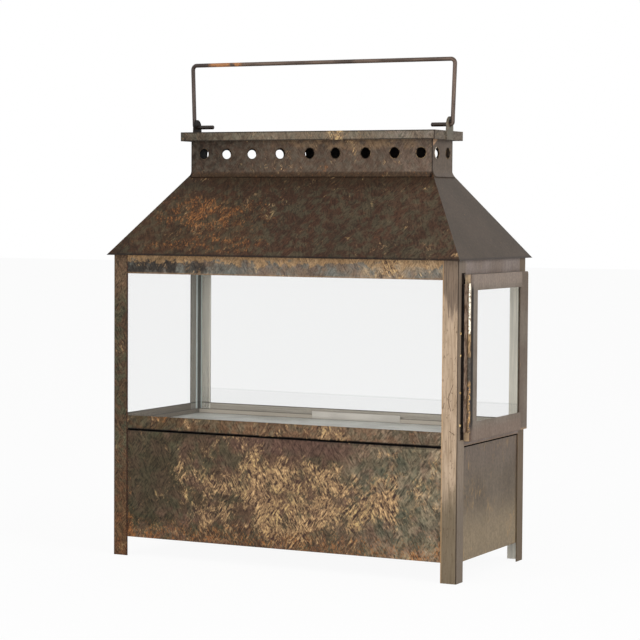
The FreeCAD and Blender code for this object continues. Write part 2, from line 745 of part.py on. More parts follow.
def door_rail(label, edge, flange, inner):
    """A folded angle between the stiles: edge is its outer edge, flange the
    inner side of its turned-in flange, and inner its edge at the pane."""
    body = new_body(label)
    section = new_sketch(body, label + "_section", "XZ_Plane", "-(opening_rear + stile_lap)")
    outline(section, [
        ("door_back", edge),
        ("door_face", edge),
        ("door_face", inner),
        ("door_face - door_sheet", inner),
        ("door_face - door_sheet", flange),
        ("door_back", flange),
    ])
    pad(body, section, "opening_rear + stile_lap - opening_front")
    relief = new_sketch(body, label + "_relief", "XY_Plane")
    rectangle(relief, "door_back - cut_overrun", "opening_rear - fit_gap",
              "door_face - door_sheet", "opening_rear + stile_lap + cut_overrun")
    cut(body, relief)
    return keep(body, label)


door_rail("door_top_rail", "door_top", "door_top - door_sheet", "opening_high")
door_rail("door_bottom_rail", "door_low", "door_low + door_sheet", "opening_low")

sheet_box("door_glass", (("pane_back", "pane_face"),
                         ("opening_front - door_glass_cover", "opening_rear + door_glass_cover"),
                         ("pane_low", "pane_high")))


def door_tab(name, pane_edge, sign, share):
    """A bent tab soldered to the back of a door rail, its lip behind the pane.
    sign is + where the tab stands above the pane's edge, - where below."""
    body = new_body(name)
    spot = f"(opening_front + {share} * (opening_rear - opening_front))"
    section = new_sketch(body, name + "_section", "XZ_Plane", f"-{spot}")
    foot, top = f"{pane_edge} {sign} fit_gap", f"{pane_edge} {sign} (fit_gap + tab_sheet)"
    lip = f"{pane_edge} {sign} (-tab_grip / 2)"
    outline(section, [
        ("pane_back - tab_sheet", lip),
        ("pane_back", lip),
        ("pane_back", foot),
        ("door_face - door_sheet", foot),
        ("door_face - door_sheet", top),
        ("pane_back - tab_sheet", top),
    ])
    pad(body, section, "tab_width", symmetric=True)
    return body


door_tabs = []
for number, share in enumerate(DOOR_TAB_SHARES, start=1):
    door_tabs.append(door_tab(f"door_tab_top_{number}", "pane_high", "+", share))
    door_tabs.append(door_tab(f"door_tab_bottom_{number}", "pane_low", "-", share))
group("door_glass_tabs", door_tabs)


# Hinge: a leaf on the jamb, a leaf on the door, and the pin through both

def hinge_leaf(label, owner, points):
    """A leaf with its own knuckles, cut back round those of the other leaf."""
    body = new_body(label)
    plate = new_sketch(body, label + "_plate", "XY_Plane", "hinge_low")
    outline(plate, points)
    pad(body, plate, "hinge_length")
    for number, knuckle in enumerate(KNUCKLES, start=1):
        mine = knuckle["owner"] == owner
        low = f"hinge_low + {knuckle['from_share']} * hinge_length"
        length = f"({knuckle['to_share']} - {knuckle['from_share']}) * hinge_length"
        if mine:
            ring = new_sketch(body, f"{label}_knuckle_{number}", "XY_Plane", f"{low} + knuckle_gap / 2")
            circle(ring, "pin_x", "pin_y", "knuckle_radius")
            pad(body, ring, f"{length} - knuckle_gap")
        else:
            room = new_sketch(body, f"{label}_room_{number}", "XY_Plane", f"{low} - knuckle_gap / 2")
            circle(room, "pin_x", "pin_y", "knuckle_radius + fit_gap")
            cut(body, room, f"{length} + knuckle_gap", reverse=True)
    bore = new_sketch(body, label + "_bore", "XY_Plane", "hinge_low")
    circle(bore, "pin_x", "pin_y", "bore_radius")
    cut(body, bore)
    return keep(body, label)


hinge_leaf("hinge_leaf_post", "post", [
    ("inner_x", "leaf_start"),
    ("inner_x + leaf_sheet", "leaf_start"),
    ("inner_x + leaf_sheet", "pin_y - leaf_sheet / 2"),
    ("pin_x - knuckle_radius + leaf_sheet / 2", "pin_y - leaf_sheet / 2"),
    ("pin_x - knuckle_radius + leaf_sheet / 2", "pin_y + leaf_sheet / 2"),
    ("inner_x", "pin_y + leaf_sheet / 2"),
])
hinge_leaf("hinge_leaf_door", "door", [
    ("door_back + leaf_inset", "door_front - leaf_sheet"),
    ("pin_x", "door_front - leaf_sheet"),
    ("pin_x", "door_front"),
    ("door_back + leaf_inset", "door_front"),
])

pin = new_body("hinge_pin")
half_pin = new_sketch(pin, "pin_profile", "XZ_Plane")
outline(half_pin, [
    ("0", "hinge_low - pin_head_height / 2"),
    ("pin_radius", "hinge_low - pin_head_height / 2"),
    ("pin_radius", "hinge_high"),
    ("pin_head", "hinge_high"),
    ("pin_head", "hinge_high + pin_head_height / 2"),
    ("pin_head - pin_head_height / 2", "hinge_high + pin_head_height"),
    ("0", "hinge_high + pin_head_height"),
])
turned = pin.newObject("PartDesign::Revolution", "pin_turned")
turned.Profile = half_pin
turned.ReferenceAxis = (half_pin, ["V_Axis"])
keep(place(pin, "pin_x", "pin_y"), "hinge_pin")

beads = []
for number, share in enumerate(BEAD_SHARES, start=1):
    bead = doc.addObject("Part::Cone", f"bead_{number}")
    bead.setExpression("Radius1", bind("bead_radius"))
    bead.setExpression("Radius2", bind("bead_crown"))
    bead.setExpression("Height", bind("bead_height"))
    bead.Placement = FreeCAD.Placement(FreeCAD.Vector(), FreeCAD.Rotation(FreeCAD.Vector(0, 1, 0), QUARTER_TURN))
    bead.setExpression("Placement.Base.x", bind("half_x"))
    bead.setExpression("Placement.Base.y", bind("notch_start - half_y - bead_radius"))
    bead.setExpression("Placement.Base.z", bind(f"hinge_low + {share} * hinge_length"))
    beads.append(bead)
group("solder_beads", beads)


# Check every object, then write one file for each sub-part

doc.recompute()
faults = []
for item in doc.Objects:
    if {"Invalid", "Error"} & set(item.State):
        faults.append(f"{item.Label}: {item.State}")
for piece in nodes:
    shape = piece.Shape
    if shape.isNull() or not shape.isValid() or not shape.Solids:
        faults.append(f"{piece.Label}: no sound shape")
if faults:
    raise RuntimeError("; ".join(faults))

os.makedirs("parts", exist_ok=True)
for piece in nodes:
    piece.Shape.exportStep(os.path.join("parts", piece.Label + ".step"))
print(len(nodes), "nodes,", sum(len(piece.Shape.Solids) for piece in nodes), "solids")
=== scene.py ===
# %% [markdown]
# A sheet-metal candle lantern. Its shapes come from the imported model, which is
# loaded as a fixed frame. This lesson gives every sheet, rod and pane its finish,
# adds the small things that a tinsmith leaves behind, and lights the lantern.

import math

import bpy
from mathutils import Matrix, Vector


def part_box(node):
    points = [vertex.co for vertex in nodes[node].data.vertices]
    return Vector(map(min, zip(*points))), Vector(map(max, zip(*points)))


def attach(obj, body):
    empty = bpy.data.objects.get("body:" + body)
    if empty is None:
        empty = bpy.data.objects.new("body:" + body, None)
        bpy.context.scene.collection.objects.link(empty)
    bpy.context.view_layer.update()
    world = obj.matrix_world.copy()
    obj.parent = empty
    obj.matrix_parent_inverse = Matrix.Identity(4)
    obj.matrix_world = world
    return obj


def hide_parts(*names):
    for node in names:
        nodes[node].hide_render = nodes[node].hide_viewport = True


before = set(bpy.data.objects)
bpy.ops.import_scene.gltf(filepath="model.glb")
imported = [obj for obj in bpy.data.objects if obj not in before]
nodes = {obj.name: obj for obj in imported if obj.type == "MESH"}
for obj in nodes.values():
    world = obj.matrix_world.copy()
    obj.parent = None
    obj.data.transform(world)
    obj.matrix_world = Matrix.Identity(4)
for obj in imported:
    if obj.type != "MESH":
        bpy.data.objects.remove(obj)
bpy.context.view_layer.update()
print(len(nodes), "nodes from the model")

# %% [markdown]
# Every finish below is worked out from the place of a point on the lantern, in
# millimetres. Shader sums are long chains of Math nodes, so a small class lets
# them be written as ordinary sums: mask * 0.5 + 0.2 adds two Math nodes. A second
# one holds a node graph and can add any node to it.

# %% Colours, wires and graphs
MM = 0.001


def colour(red, green, blue):
    """A colour as a screen shows it, 0 to 255, made linear for a shader."""
    shares = (value / 255 for value in (red, green, blue))
    linear = [s / 12.92 if s <= 0.04045 else ((s + 0.055) / 1.055) ** 2.4 for s in shares]
    return (*linear, 1.0)


def palette(**tones):
    """Several colours by name, each as a screen shows it."""
    return {name: colour(*tone) for name, tone in tones.items()}


class Wire:
    """One output of a shader node; sums on it add Math nodes beside it."""

    def __init__(self, graph, socket):
        self.graph = graph
        self.socket = socket

    def sum(self, operation, first, second=None):
        return self.graph.node("ShaderNodeMath", {"operation": operation}, {0: first, 1: second})

    def __add__(self, other):
        return self.sum("ADD", self, other)

    def __radd__(self, other):
        return self.sum("ADD", other, self)

    def __sub__(self, other):
        return self.sum("SUBTRACT", self, other)

    def __rsub__(self, other):
        return self.sum("SUBTRACT", other, self)

    def __mul__(self, other):
        return self.sum("MULTIPLY", self, other)

    def __rmul__(self, other):
        return self.sum("MULTIPLY", other, self)

    def __truediv__(self, other):
        return self.sum("DIVIDE", self, other)

    def __abs__(self):
        return self.sum("ABSOLUTE", self)

    def __lt__(self, other):
        return self.sum("LESS_THAN", self, other)

    def __gt__(self, other):
        return self.sum("GREATER_THAN", self, other)


class Graph:
    """The node graph of a material or a world, emptied and ready to fill."""

    def __init__(self, owner):
        owner.use_nodes = True
        self.tree = owner.node_tree
        self.tree.nodes.clear()

    def node(self, kind, settings=None, sockets=None, out=0):
        """Add any node: its settings first, then the values or wires it takes."""
        made = self.tree.nodes.new(kind)
        for name, value in (settings or {}).items():
            setattr(made, name, value)
        for name, value in (sockets or {}).items():
            if isinstance(value, Wire):
                self.tree.links.new(value.socket, made.inputs[name])
            elif value is not None:
                made.inputs[name].default_value = value
        return Wire(self, made.outputs[out])

    def close(self, kind, shader):
        """Add the output node, which takes the finished shader."""
        output = self.tree.nodes.new(kind)
        self.tree.links.new(shader.socket, output.inputs["Surface"])


# %% [markdown]
# A real patina is several coats: a dark ground, clouds of another tone, cool
# casts where the acid pooled, and fine strokes where a cloth rubbed it back to
# the golden metal. One class holds the tools that all these coats share.

# %% The paint box
# The colour sockets of a Mix node share their names with its number sockets, so
# they go by their places: the lower colour, the upper colour and the result.
UNDER, OVER, MIXED = 6, 7, 2
# One more on a seed moves a noise this far, in metres, to a fresh part of it.
CLOUD_SHIFT = (0.37, 0.71, 1.13)
STROKE_SHIFT = (0.41, 0.29, 0.83)
# Feathers lean by these degrees, one way in some patches and one in the others.
LEANS = (34, -28)
LEAN_PATCH = 20
# Places in mm: the ends of the long walls, and just behind the front of a post.
LANTERN_END = 190
POST_FRONT = -94
SCRATCH_WIDE = 0.6


class Paint(Graph):
    """A material under construction, with its point in millimetres."""

    def __init__(self, name):
        self.material = bpy.data.materials.new(name)
        super().__init__(self.material)
        self.spot = self.node("ShaderNodeTexCoord", out="Object")
        scaled = self.node("ShaderNodeVectorMath", {"operation": "SCALE"}, {0: self.spot, "Scale": 1 / MM})
        self.x, self.y, self.z = (self.node("ShaderNodeSeparateXYZ", sockets={0: scaled}, out=k) for k in "XYZ")

    def mix(self, under, over, share):
        """Lay one colour over another."""
        return self.node("ShaderNodeMix", {"data_type": "RGBA"}, {0: share, UNDER: under, OVER: over}, out=MIXED)

    def shade(self, tone, light):
        """Multiply a colour by a grey value."""
        grey = self.node("ShaderNodeCombineXYZ", sockets={0: light, 1: light, 2: light})
        settings = {"data_type": "RGBA", "blend_type": "MULTIPLY"}
        return self.node("ShaderNodeMix", settings, {0: 1.0, UNDER: tone, OVER: grey}, out=MIXED)

    def step(self, value, low, high):
        """A soft step from 0 at low to 1 at high; low may be the larger one."""
        settings = {"interpolation_type": "SMOOTHSTEP"}
        return self.node("ShaderNodeMapRange", settings, {"Value": value, "From Min": low, "From Max": high})

    def clouds(self, size, low=0.4, high=0.6, seed=0, detail=2.0):
        """Soft patches about size millimetres across."""
        shift = [seed * length for length in CLOUD_SHIFT]
        place = self.node("ShaderNodeMapping", sockets={"Vector": self.spot, "Location": shift})
        sockets = {"Vector": place, "Scale": 1 / (size * MM), "Detail": detail}
        return self.step(self.node("ShaderNodeTexNoise", sockets=sockets), low, high)

    def strokes(self, length, width, lean, seed=0, detail=3.0, curl=0.6, thin="xy"):
        """Fine streaks: width along the axes named in thin and length along the
        others, tipped by lean degrees."""
        tip = math.radians(lean)
        sockets = {
            "Vector": self.spot,
            "Location": [seed * length for length in STROKE_SHIFT],
            "Rotation": (tip, 0, 0) if thin == "y" else (0, tip, 0),
            "Scale": [(width if letter in thin else length) * MM for letter in "xyz"],
        }
        place = self.node("ShaderNodeMapping", {"vector_type": "TEXTURE"}, sockets)
        sockets = {"Vector": place, "Scale": 1.0, "Detail": detail, "Distortion": curl}
        return self.node("ShaderNodeTexNoise", sockets=sockets)

    def feathers(self, length, width, seed=0, thin="xy"):
        """Rubbed strokes that lean one way here and the other way there."""
        first, second = (self.strokes(length, width, lean, seed + count, detail=2.0, curl=1.0, thin=thin)
                         for count, lean in enumerate(LEANS))
        return first + (second - first) * self.clouds(LEAN_PATCH, 0.44, 0.56, seed + 3)

    def across(self, left, middle, right):
        """Three tones from the left end of the lantern to its right end: partly the patina's own change, partly
        painted shade at the left and painted light at the right.
        """
        wander = (self.clouds(34, 0.2, 0.8, seed=14, detail=4.0) - 0.5) * 60
        place = self.x + wander
        tone = self.mix(left, middle, self.step(place, -LANTERN_END, 0))
        return self.mix(tone, right, self.step(place, 20, LANTERN_END))

    def scratch(self, x0, z0, x1, z1):
        """A thin straight scratch on the front, from one point to another."""
        run_x, run_z = x1 - x0, z1 - z0
        long = math.hypot(run_x, run_z)
        off = ((self.x - x0) * run_z - (self.z - z0) * run_x) * (1 / long)
        share = ((self.x - x0) * run_x + (self.z - z0) * run_z) * (1 / long ** 2)
        near = self.step(abs(off), SCRATCH_WIDE, SCRATCH_WIDE * 0.3)
        return near * (share > 0) * (share < 1) * (self.y < POST_FRONT)

    def patch(self, x, z, wide, high, edge):
        """A soft oval on a long wall: its middle, half its width and height, and
        how far its ragged edge fades."""
        across = (self.x - x) / wide
        up = (self.z - z) / high
        ragged = self.clouds(16, 0.2, 0.8, seed=9) - 0.5
        return self.step(across * across + up * up + ragged * 0.9, 1.0 + edge, 1.0 - edge)

    def done(self, tone, rough=0.5, metal=0.0, relief=None, depth=0.1, gloss=0.12, alpha=None):
        """Close the material with a shader that takes the finished coats; depth
        is how far the relief goes, in mm."""
        sockets = {
            "Base Color": tone,
            "Roughness": rough,
            "Metallic": metal,
            "Specular IOR Level": gloss,
            "Alpha": alpha,
        }
        if relief is not None:
            bump = {"Height": relief, "Strength": 1.0, "Distance": depth * MM}
            sockets["Normal"] = self.node("ShaderNodeBump", sockets=bump)
        self.close("ShaderNodeOutputMaterial", self.node("ShaderNodeBsdfPrincipled", sockets=sockets))
        return self.material


def wear(piece, material):
    """Give a piece its one material."""
    piece.data.materials.clear()
    piece.data.materials.append(material)


def dress(names, material):
    """Give one material to the nodes of the model with these names."""
    for name in names.split():
        wear(nodes[name], material)
    print(material.name, "on", names)


# %% [markdown]
# The sheet is patinated on the outside only. Inside the glazed box it's bare,
# brushed steel, gone a little yellow. The walls are about a millimetre thick, so
# the place of a point tells which side of the sheet it's on.

# %% Inside and outside
FRAME_WALLS = {"x": 208.9, "y": 93.4}
SILL_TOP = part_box("sill_rail_rear")[1].z / MM
LIP_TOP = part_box("candle_tray")[1].z / MM
# The tone of painted shade in creases and where parts meet.
CREASE = colour(84, 79, 71)
CORNER_SHADOW = colour(66, 64, 60)
CORNER_INNER = (203.8, 205.2)
LOOKS_DOWN = -0.2
print("sill rail up to", round(SILL_TOP, 2), "mm, tray lip up to", round(LIP_TOP, 2), "mm")
# The tone of faces along the lantern, painted lighter as they face the lamps in front, the tone of faces across
# it, painted darker as shade, and the shine.
INNER = {
    "rail": {"along": colour(190, 180, 166), "across": colour(134, 123, 111), "shine": 0.0},
    "post": {"along": colour(246, 240, 226), "across": colour(166, 160, 150), "shine": 0.1},
    "soot": {"along": colour(20, 16, 14), "across": colour(14, 11, 10), "shine": 0.0},
}


def bare_inside(paint, tone, run, walls, inner):
    """Turn the coat to bare metal nearer the middle than these walls, or, where
    none are given, on every face that looks down.

    The metal is brushed along the axis in run. Faces across the lantern are painted darker than faces along it,
    as painted light and shade.
    It is darker in the corners of the box, a painted shadow, and in a thin line of painted shade along the top of
    the sill rails.
    """
    facing = paint.node("ShaderNodeNewGeometry", out="True Normal")
    turned_x, turned_z = (paint.node("ShaderNodeSeparateXYZ", sockets={0: facing}, out=k) for k in "XZ")
    if walls:
        inside = 1.0
        for letter, distance in walls.items():
            inside = (abs(getattr(paint, letter)) < distance) * inside
    else:
        inside = turned_z < LOOKS_DOWN
    brushed = paint.strokes(60, 1.3, 0, seed=5, thin="xyz".replace(run, ""), curl=0.1)
    # Painted light and shade: faces along the lantern take the lighter tone, faces across it the darker one.
    metal = paint.mix(INNER[inner]["along"], INNER[inner]["across"], abs(turned_x))
    metal = paint.shade(metal, 0.86 + paint.step(brushed, 0.36, 0.6) * 0.2)
    corner = paint.step(abs(paint.x), *CORNER_INNER) * (1 - abs(turned_x))
    metal = paint.mix(metal, CORNER_SHADOW, corner * 0.9)
    # Painted shade: a thin dark line along the top of the sill rails.
    brim = paint.step(paint.z, SILL_TOP - 1.3, SILL_TOP - 0.5) * (paint.z < SILL_TOP + 0.5)
    metal = paint.mix(metal, CREASE, brim * 0.8)
    return paint.mix(tone, metal, inside), inside


# %% [markdown]
# The front, the rear and the roof carry the busiest patina. The recipe takes the
# tones, how much of each there is, and a function that adds what only that piece
# has, such as a golden band along its top.

# %% The patina recipe
RUBBED_DARK = colour(60, 44, 40)
RUBBED = colour(144, 115, 84)
GOLD = colour(170, 134, 84)
GOLD_LIGHT = colour(218, 180, 130)
OLIVE_LIGHT = colour(202, 173, 114)
RUST_DARK = colour(84, 55, 36)
ORANGE = colour(158, 103, 57)
BLACK = colour(16, 12, 10)


def patina(name, tones, cast_share, gold_share, rust_share, marks, run="x", walls=FRAME_WALLS, inner="rail",
           size=1.0, mottle=0.6, thin="x", grain=2.2):
    """Dark patina with cool casts, golden feathers and rust.

    tones holds the clouds and the cast, and either one ground or three from the
    left end to the right, which are darker at the left and lighter at the right, partly as painted shade and
    light. size scales the wear, mottle the clouds under it.
    """
    paint = Paint(name)
    if "ground" in tones:
        ground = tones["ground"]
    else:
        # Painted shade and light: three grounds darken the left end and lighten the right, as well as changing
        # the patina.
        ground = paint.across(tones["left"], tones["middle"], tones["right"])
    clouded = paint.clouds(30 * mottle, 0.42, 0.6, seed=1, detail=5.0) * 0.6
    cooled = paint.clouds(22 * mottle, 0.44, 0.6, seed=2, detail=5.0) * cast_share
    tone = paint.mix(paint.mix(ground, tones["clouds"], clouded), tones["cast"], cooled)
    tone = paint.shade(tone, 0.86 + paint.clouds(55 * size, 0.3, 0.7, seed=13, detail=4.0) * 0.28)
    gold = paint.clouds(42 * size, 0.35, 0.65, seed=4) * gold_share
    rust = paint.clouds(30 * size, 0.5, 0.68, seed=6) * rust_share
    tone, gold, rust = marks(paint, tone, gold, rust)
    # Fine strokes with specks between them make the grain of every coat.
    speck = (paint.clouds(2.6 * size, 0.28, 0.72, seed=19, detail=1.0) - 0.5) * 1.5
    fine = (paint.feathers(9 * size, 2.1 * size, seed=11, thin=thin) - 0.5) * 10 + speck
    swing = grain * 0.45
    tone = paint.shade(tone, paint.step(fine, -3.5, 3.5) * swing + (1 - swing / 2))
    # Heat says how far a point is rubbed through to the speckled golden metal.
    rub = paint.feathers(6 * size, 2.4 * size, seed=3, thin=thin) - 0.5
    blot = paint.clouds(11 * size, 0.3, 0.7, seed=15, detail=4.0) - 0.5
    broad = paint.clouds(24 * size, 0.3, 0.7, seed=23, detail=3.0) - 0.5
    heat = rub * 4 + blot + broad * 1.3 + gold * 3 - 1.5
    worn = paint.step(heat, -0.7, 0.9)
    rubbed = paint.mix(RUBBED_DARK, RUBBED, paint.step(fine, -1.5, 0.1))
    light = paint.mix(GOLD_LIGHT, OLIVE_LIGHT, paint.clouds(34 * size, 0.4, 0.6, seed=29) * 0.7)
    rubbed = paint.mix(rubbed, light, paint.step(fine, 0.1, 1.9) * 0.9)
    tone = paint.mix(tone, rubbed, worn * 0.9)
    # Rust comes in short leaning flakes.
    flake = (paint.strokes(5, 1.8, -20, seed=8, curl=1.6, thin=thin) - 0.5) * 7 + rust * 3 - 1.8
    scale = paint.mix(RUST_DARK, ORANGE, paint.step(fine, -1.2, 1.2))
    tone = paint.mix(tone, scale, paint.step(flake, -0.6, 1.0) * 0.8)
    tone, inside = bare_inside(paint, tone, run, walls, inner)
    metal = worn * 0.12 + inside * INNER[inner]["shine"]
    return paint.done(tone, rough=0.52 - worn * 0.06 - inside * 0.1, metal=metal, relief=fine, depth=0.02 * size)


# %% [markdown]
# The two ends of the lantern, the door and the end slopes of the roof look
# calmer: a satin grey-brown with faint upright streaks. It has its own recipe.

# %% The satin recipe
def satin(name, tones, streak, marks, run="z", walls=FRAME_WALLS, inner="rail"):
    """Even grey-brown patina, faintly brushed; streak is how golden it's worn."""
    paint = Paint(name)
    brushed = paint.strokes(24, 1.6, 0, seed=2, curl=0.2, detail=4.0)
    tone = paint.mix(tones["satin"], tones["warm"], paint.clouds(40, 0.38, 0.62, seed=3, detail=4.0))
    tone = marks(paint, tone)
    worn = (paint.strokes(12, 1.6, 4, seed=5) - 0.5) * 9 + paint.clouds(40, 0.4, 0.65, seed=6) * streak - 1.6
    tone = paint.mix(tone, GOLD, paint.step(worn, 0, 1.0) * 0.5)
    fine = paint.clouds(2.6, 0.2, 0.8, seed=7, detail=3.0)
    tone = paint.shade(tone, 0.46 + brushed * 0.7 + fine * 0.38)
    tone, inside = bare_inside(paint, tone, run, walls, inner)
    return paint.done(tone, rough=0.46 - inside * 0.06, metal=0.05, relief=brushed + fine * 0.3, depth=0.06)


# %% [markdown]
# Lower panels. The long ones carry a burst of golden feathers round the middle,
# cool green-grey casts towards both ends, and orange along the foot. A dark line
# at the top is painted shade in the open gap under the sill rail, with a fainter painted shadow below it.

# %% Lower panels
PANEL = palette(left=(56, 49, 34), middle=(84, 64, 50), right=(136, 121, 99), clouds=(90, 68, 56),
                cast=(68, 70, 52), teal=(62, 68, 56), olive=(60, 51, 37), plum=(84, 62, 54))
END_PANEL = palette(satin=(98, 86, 72), warm=(87, 75, 61), top=(98, 85, 75), foot=(132, 116, 92),
                    edge=(52, 36, 26))


def panel_marks(paint, tone, gold, rust):
    burst = paint.patch(10, 77, 116, 48, 0.7)
    halo = paint.patch(-8, 78, 158, 58, 0.5)
    branch = paint.patch(130, 94, 20, 40, 0.8)
    plum = paint.patch(15, 135, 75, 12, 0.6)
    teal = paint.patch(145, 84, 62, 56, 0.6) * paint.clouds(12, 0.42, 0.58, seed=17, detail=4.0)
    olive = paint.patch(-168, 96, 44, 50, 0.5)
    tone = paint.mix(tone, PANEL["teal"], teal * 0.6)
    tone = paint.mix(tone, PANEL["olive"], olive * 0.6)
    tone = paint.mix(tone, PANEL["plum"], plum * 0.6)
    foot = paint.step(paint.z, 60, 27)
    ends = paint.step(abs(paint.x), 181, 190)
    # Painted shadow under the sill rail, and painted shade in the gap at the top of the panel.
    shadow = paint.step(paint.z, 138.6, 139.6) * paint.step(paint.x, 20, 130) * 0.4
    gap = paint.step(paint.z, 140.9, 141.3) * 0.95
    tone = paint.mix(tone, BLACK, shadow + gap)
    gold = gold + halo * 0.16 + burst * 0.32 + branch * 0.36 - plum * 0.2 - olive * 0.1
    return tone, gold * (1 - gap), rust + foot * 0.52 + ends * 0.3


def end_panel_marks(paint, tone):
    tone = paint.mix(tone, END_PANEL["top"], paint.step(paint.z, 95, 138) * 0.8)
    tone = paint.mix(tone, END_PANEL["foot"], paint.step(paint.z, 90, 40) * 0.8)
    return paint.mix(tone, END_PANEL["edge"], paint.step(abs(paint.y), 73.5, 76.4) * 0.8)


dress("panel_front panel_rear", patina(
    "patina_panel", PANEL, cast_share=0.45, gold_share=0.22, rust_share=0.15, marks=panel_marks,
    walls={"y": 93.2}, inner="soot", grain=3.0))
dress("panel_right panel_left", satin(
    "satin_panel", END_PANEL, streak=1.3, marks=end_panel_marks, walls={"x": 208.7}, inner="soot"))

# %% [markdown]
# Roof. The long slopes are the darkest sheet on the lantern: brown with fine
# green-grey grain, and a drift of orange and gold at the left end. The eave ends
# in a thin dark edge.

# %% Roof
ROOF = palette(left=(48, 34, 23), middle=(57, 41, 30), right=(68, 52, 40), clouds=(60, 39, 28),
               cast=(74, 73, 57), umber=(92, 66, 40), eave=(30, 22, 18), ridge=(46, 32, 20))
END_ROOF = palette(satin=(70, 58, 47), warm=(64, 53, 42), eave=(44, 34, 28))
EAVE = (341.0, 339.2)


def roof_marks(paint, tone, gold, rust):
    wisps = paint.clouds(13, 0.32, 0.56, seed=27, detail=4.0)
    drift = paint.patch(-122, 387, 62, 19, 0.9) * wisps
    tail = paint.patch(-70, 378, 60, 24, 0.8)
    low_drift = paint.patch(-85, 350, 100, 9, 0.7) * wisps
    worn_corner = paint.patch(207, 344, 6, 3, 0.6)
    tone = paint.mix(tone, ROOF["umber"], paint.patch(-130, 374, 90, 36, 0.8) * 0.15)
    tone = paint.mix(tone, ROOF["eave"], paint.step(paint.z, *EAVE) * 0.8)
    tone = paint.mix(tone, ROOF["ridge"], paint.step(paint.z, 405, 424) * 0.7)
    gold = gold + drift * 0.06 + tail * 0.12 + worn_corner * 0.7
    return tone, gold, rust + drift * 0.5 + tail * 0.24 + low_drift * 0.5


def end_roof_marks(paint, tone):
    return paint.mix(tone, END_ROOF["eave"], paint.step(paint.z, *EAVE) * 0.7)


dress("roof_front roof_rear", patina(
    "patina_roof", ROOF, cast_share=0.4, gold_share=0.03, rust_share=0.14, marks=roof_marks, walls={},
    size=0.9, mottle=0.42, grain=2.4))
dress("roof_right roof_left", satin("satin_roof", END_ROOF, streak=0.0, marks=end_roof_marks, walls={}))

# %% [markdown]
# Rails. Under the eave the long head rail is worn golden along its top, and the
# wear runs down in teeth over a blue-grey mottle; its left end is almost black.
# The sill rails are browner, with two golden patches near the middle.

# %% Rails
HEAD = palette(left=(80, 62, 46), middle=(106, 90, 75), right=(126, 108, 92), clouds=(96, 82, 74),
               cast=(100, 106, 101), ink=(44, 39, 35), worn=(154, 122, 84), foot=(132, 108, 84),
               pale=(160, 136, 106))
SILL = palette(left=(76, 62, 42), middle=(102, 79, 60), right=(112, 97, 80), clouds=(92, 66, 48),
               cast=(84, 84, 68))
END_RAIL = palette(satin=(124, 112, 105), warm=(112, 98, 88), head_foot=(70, 50, 38), sill_foot=(128, 100, 74))


def head_marks(paint, tone, gold, rust):
    ragged = paint.clouds(7, 0.3, 0.7, seed=21, detail=5.0) - 0.5
    inky = paint.patch(-150, 324, 66, 12, 0.6) * paint.clouds(11, 0.36, 0.52, seed=24, detail=4.0)
    tone = paint.mix(tone, HEAD["cast"], paint.clouds(22, 0.42, 0.62, seed=22, detail=5.0) * 0.5)
    tone = paint.mix(tone, HEAD["ink"], inky * 0.92)
    teeth = paint.step(paint.z + ragged * 9, 329.8, 333.0)
    tone = paint.mix(tone, HEAD["worn"], teeth * (0.7 - inky * 0.2))
    tone = paint.mix(tone, HEAD["foot"], paint.step(paint.z, 319.8, 318.2) * 0.7)
    right = paint.patch(150, 329, 60, 11, 0.6)
    tone = paint.mix(tone, HEAD["pale"], right * paint.clouds(13, 0.38, 0.56, seed=26, detail=4.0) * 0.6)
    return tone, gold + right * 0.25 + inky * 0.1, rust


def sill_marks(paint, tone, gold, rust):
    left = paint.patch(-147, 157, 9, 5, 0.6)
    middle = paint.patch(67, 152, 40, 14, 0.7) + paint.patch(-4, 152, 16, 9, 0.6)
    # Painted shade: the left end of the rail is darkened.
    tone = paint.shade(tone, 1 - paint.step(paint.x, -80, -160) * 0.18)
    # Painted shade: a dark line along the foot of the rail, over the gap beneath it.
    tone = paint.mix(tone, BLACK, paint.step(paint.z, 144.7, 144.2) * 0.9)
    return tone, gold + middle * 0.2, rust + left * 0.6


def end_rail_marks(paint, tone):
    head_foot = paint.step(paint.z, 320.5, 318.5) * (paint.z > 300)
    tone = paint.mix(tone, END_RAIL["head_foot"], head_foot * 0.7)
    return paint.mix(tone, END_RAIL["sill_foot"], paint.step(paint.z, 146.0, 144.2) * 0.5)


dress("head_rail_front head_rail_rear", patina(
    "patina_head_rail", HEAD, cast_share=0.4, gold_share=0.24, rust_share=0.05, marks=head_marks,
    size=0.8, mottle=0.5))
dress("sill_rail_front sill_rail_rear", patina(
    "patina_sill_rail", SILL, cast_share=0.4, gold_share=0.22, rust_share=0.3, marks=sill_marks,
    size=0.9, mottle=0.4, grain=3.2))
dress("sill_rail_right sill_rail_left head_rail_right head_rail_left", satin(
    "satin_rails", END_RAIL, streak=0.3, marks=end_rail_marks, run="y"))

# %% [markdown]
# Corner posts. Each is brushed upright. The front right one is rubbed to a pale
# tan, with a dark line down its corner and a few thin scratches.

# %% Corner posts
DARK_POST = palette(ground=(71, 57, 42), clouds=(77, 56, 40), cast=(68, 70, 53), foot=(98, 60, 34),
                    top=(96, 75, 57), edge=(50, 28, 18))
TAN_POST = palette(light=(175, 153, 130), dark=(156, 134, 110), side=(104, 92, 80))
BROWN_POST = palette(light=(112, 92, 72), dark=(84, 68, 52), side=(92, 76, 58))
POST_WEAR = palette(top_dark=(76, 64, 55), top_light=(126, 108, 92), foot=(97, 86, 68), rim=(178, 142, 100),
                    scratch=(84, 64, 48), fleck=(88, 70, 54), corner=(34, 24, 18))
# Soft steps, in mm from the middle of the lantern: where the rounded corner of a
# post begins, where its flanges end, and the pale rim of the front one.
CORNER_X, CORNER_Y = (208.8, 209.3), (93.3, 93.8)
FLANGE_X, FLANGE_Y = (193.8, 192.8), (77.7, 76.7)
RIM_X = (193.6, 192.6)
SIDE_FACE = 209.6
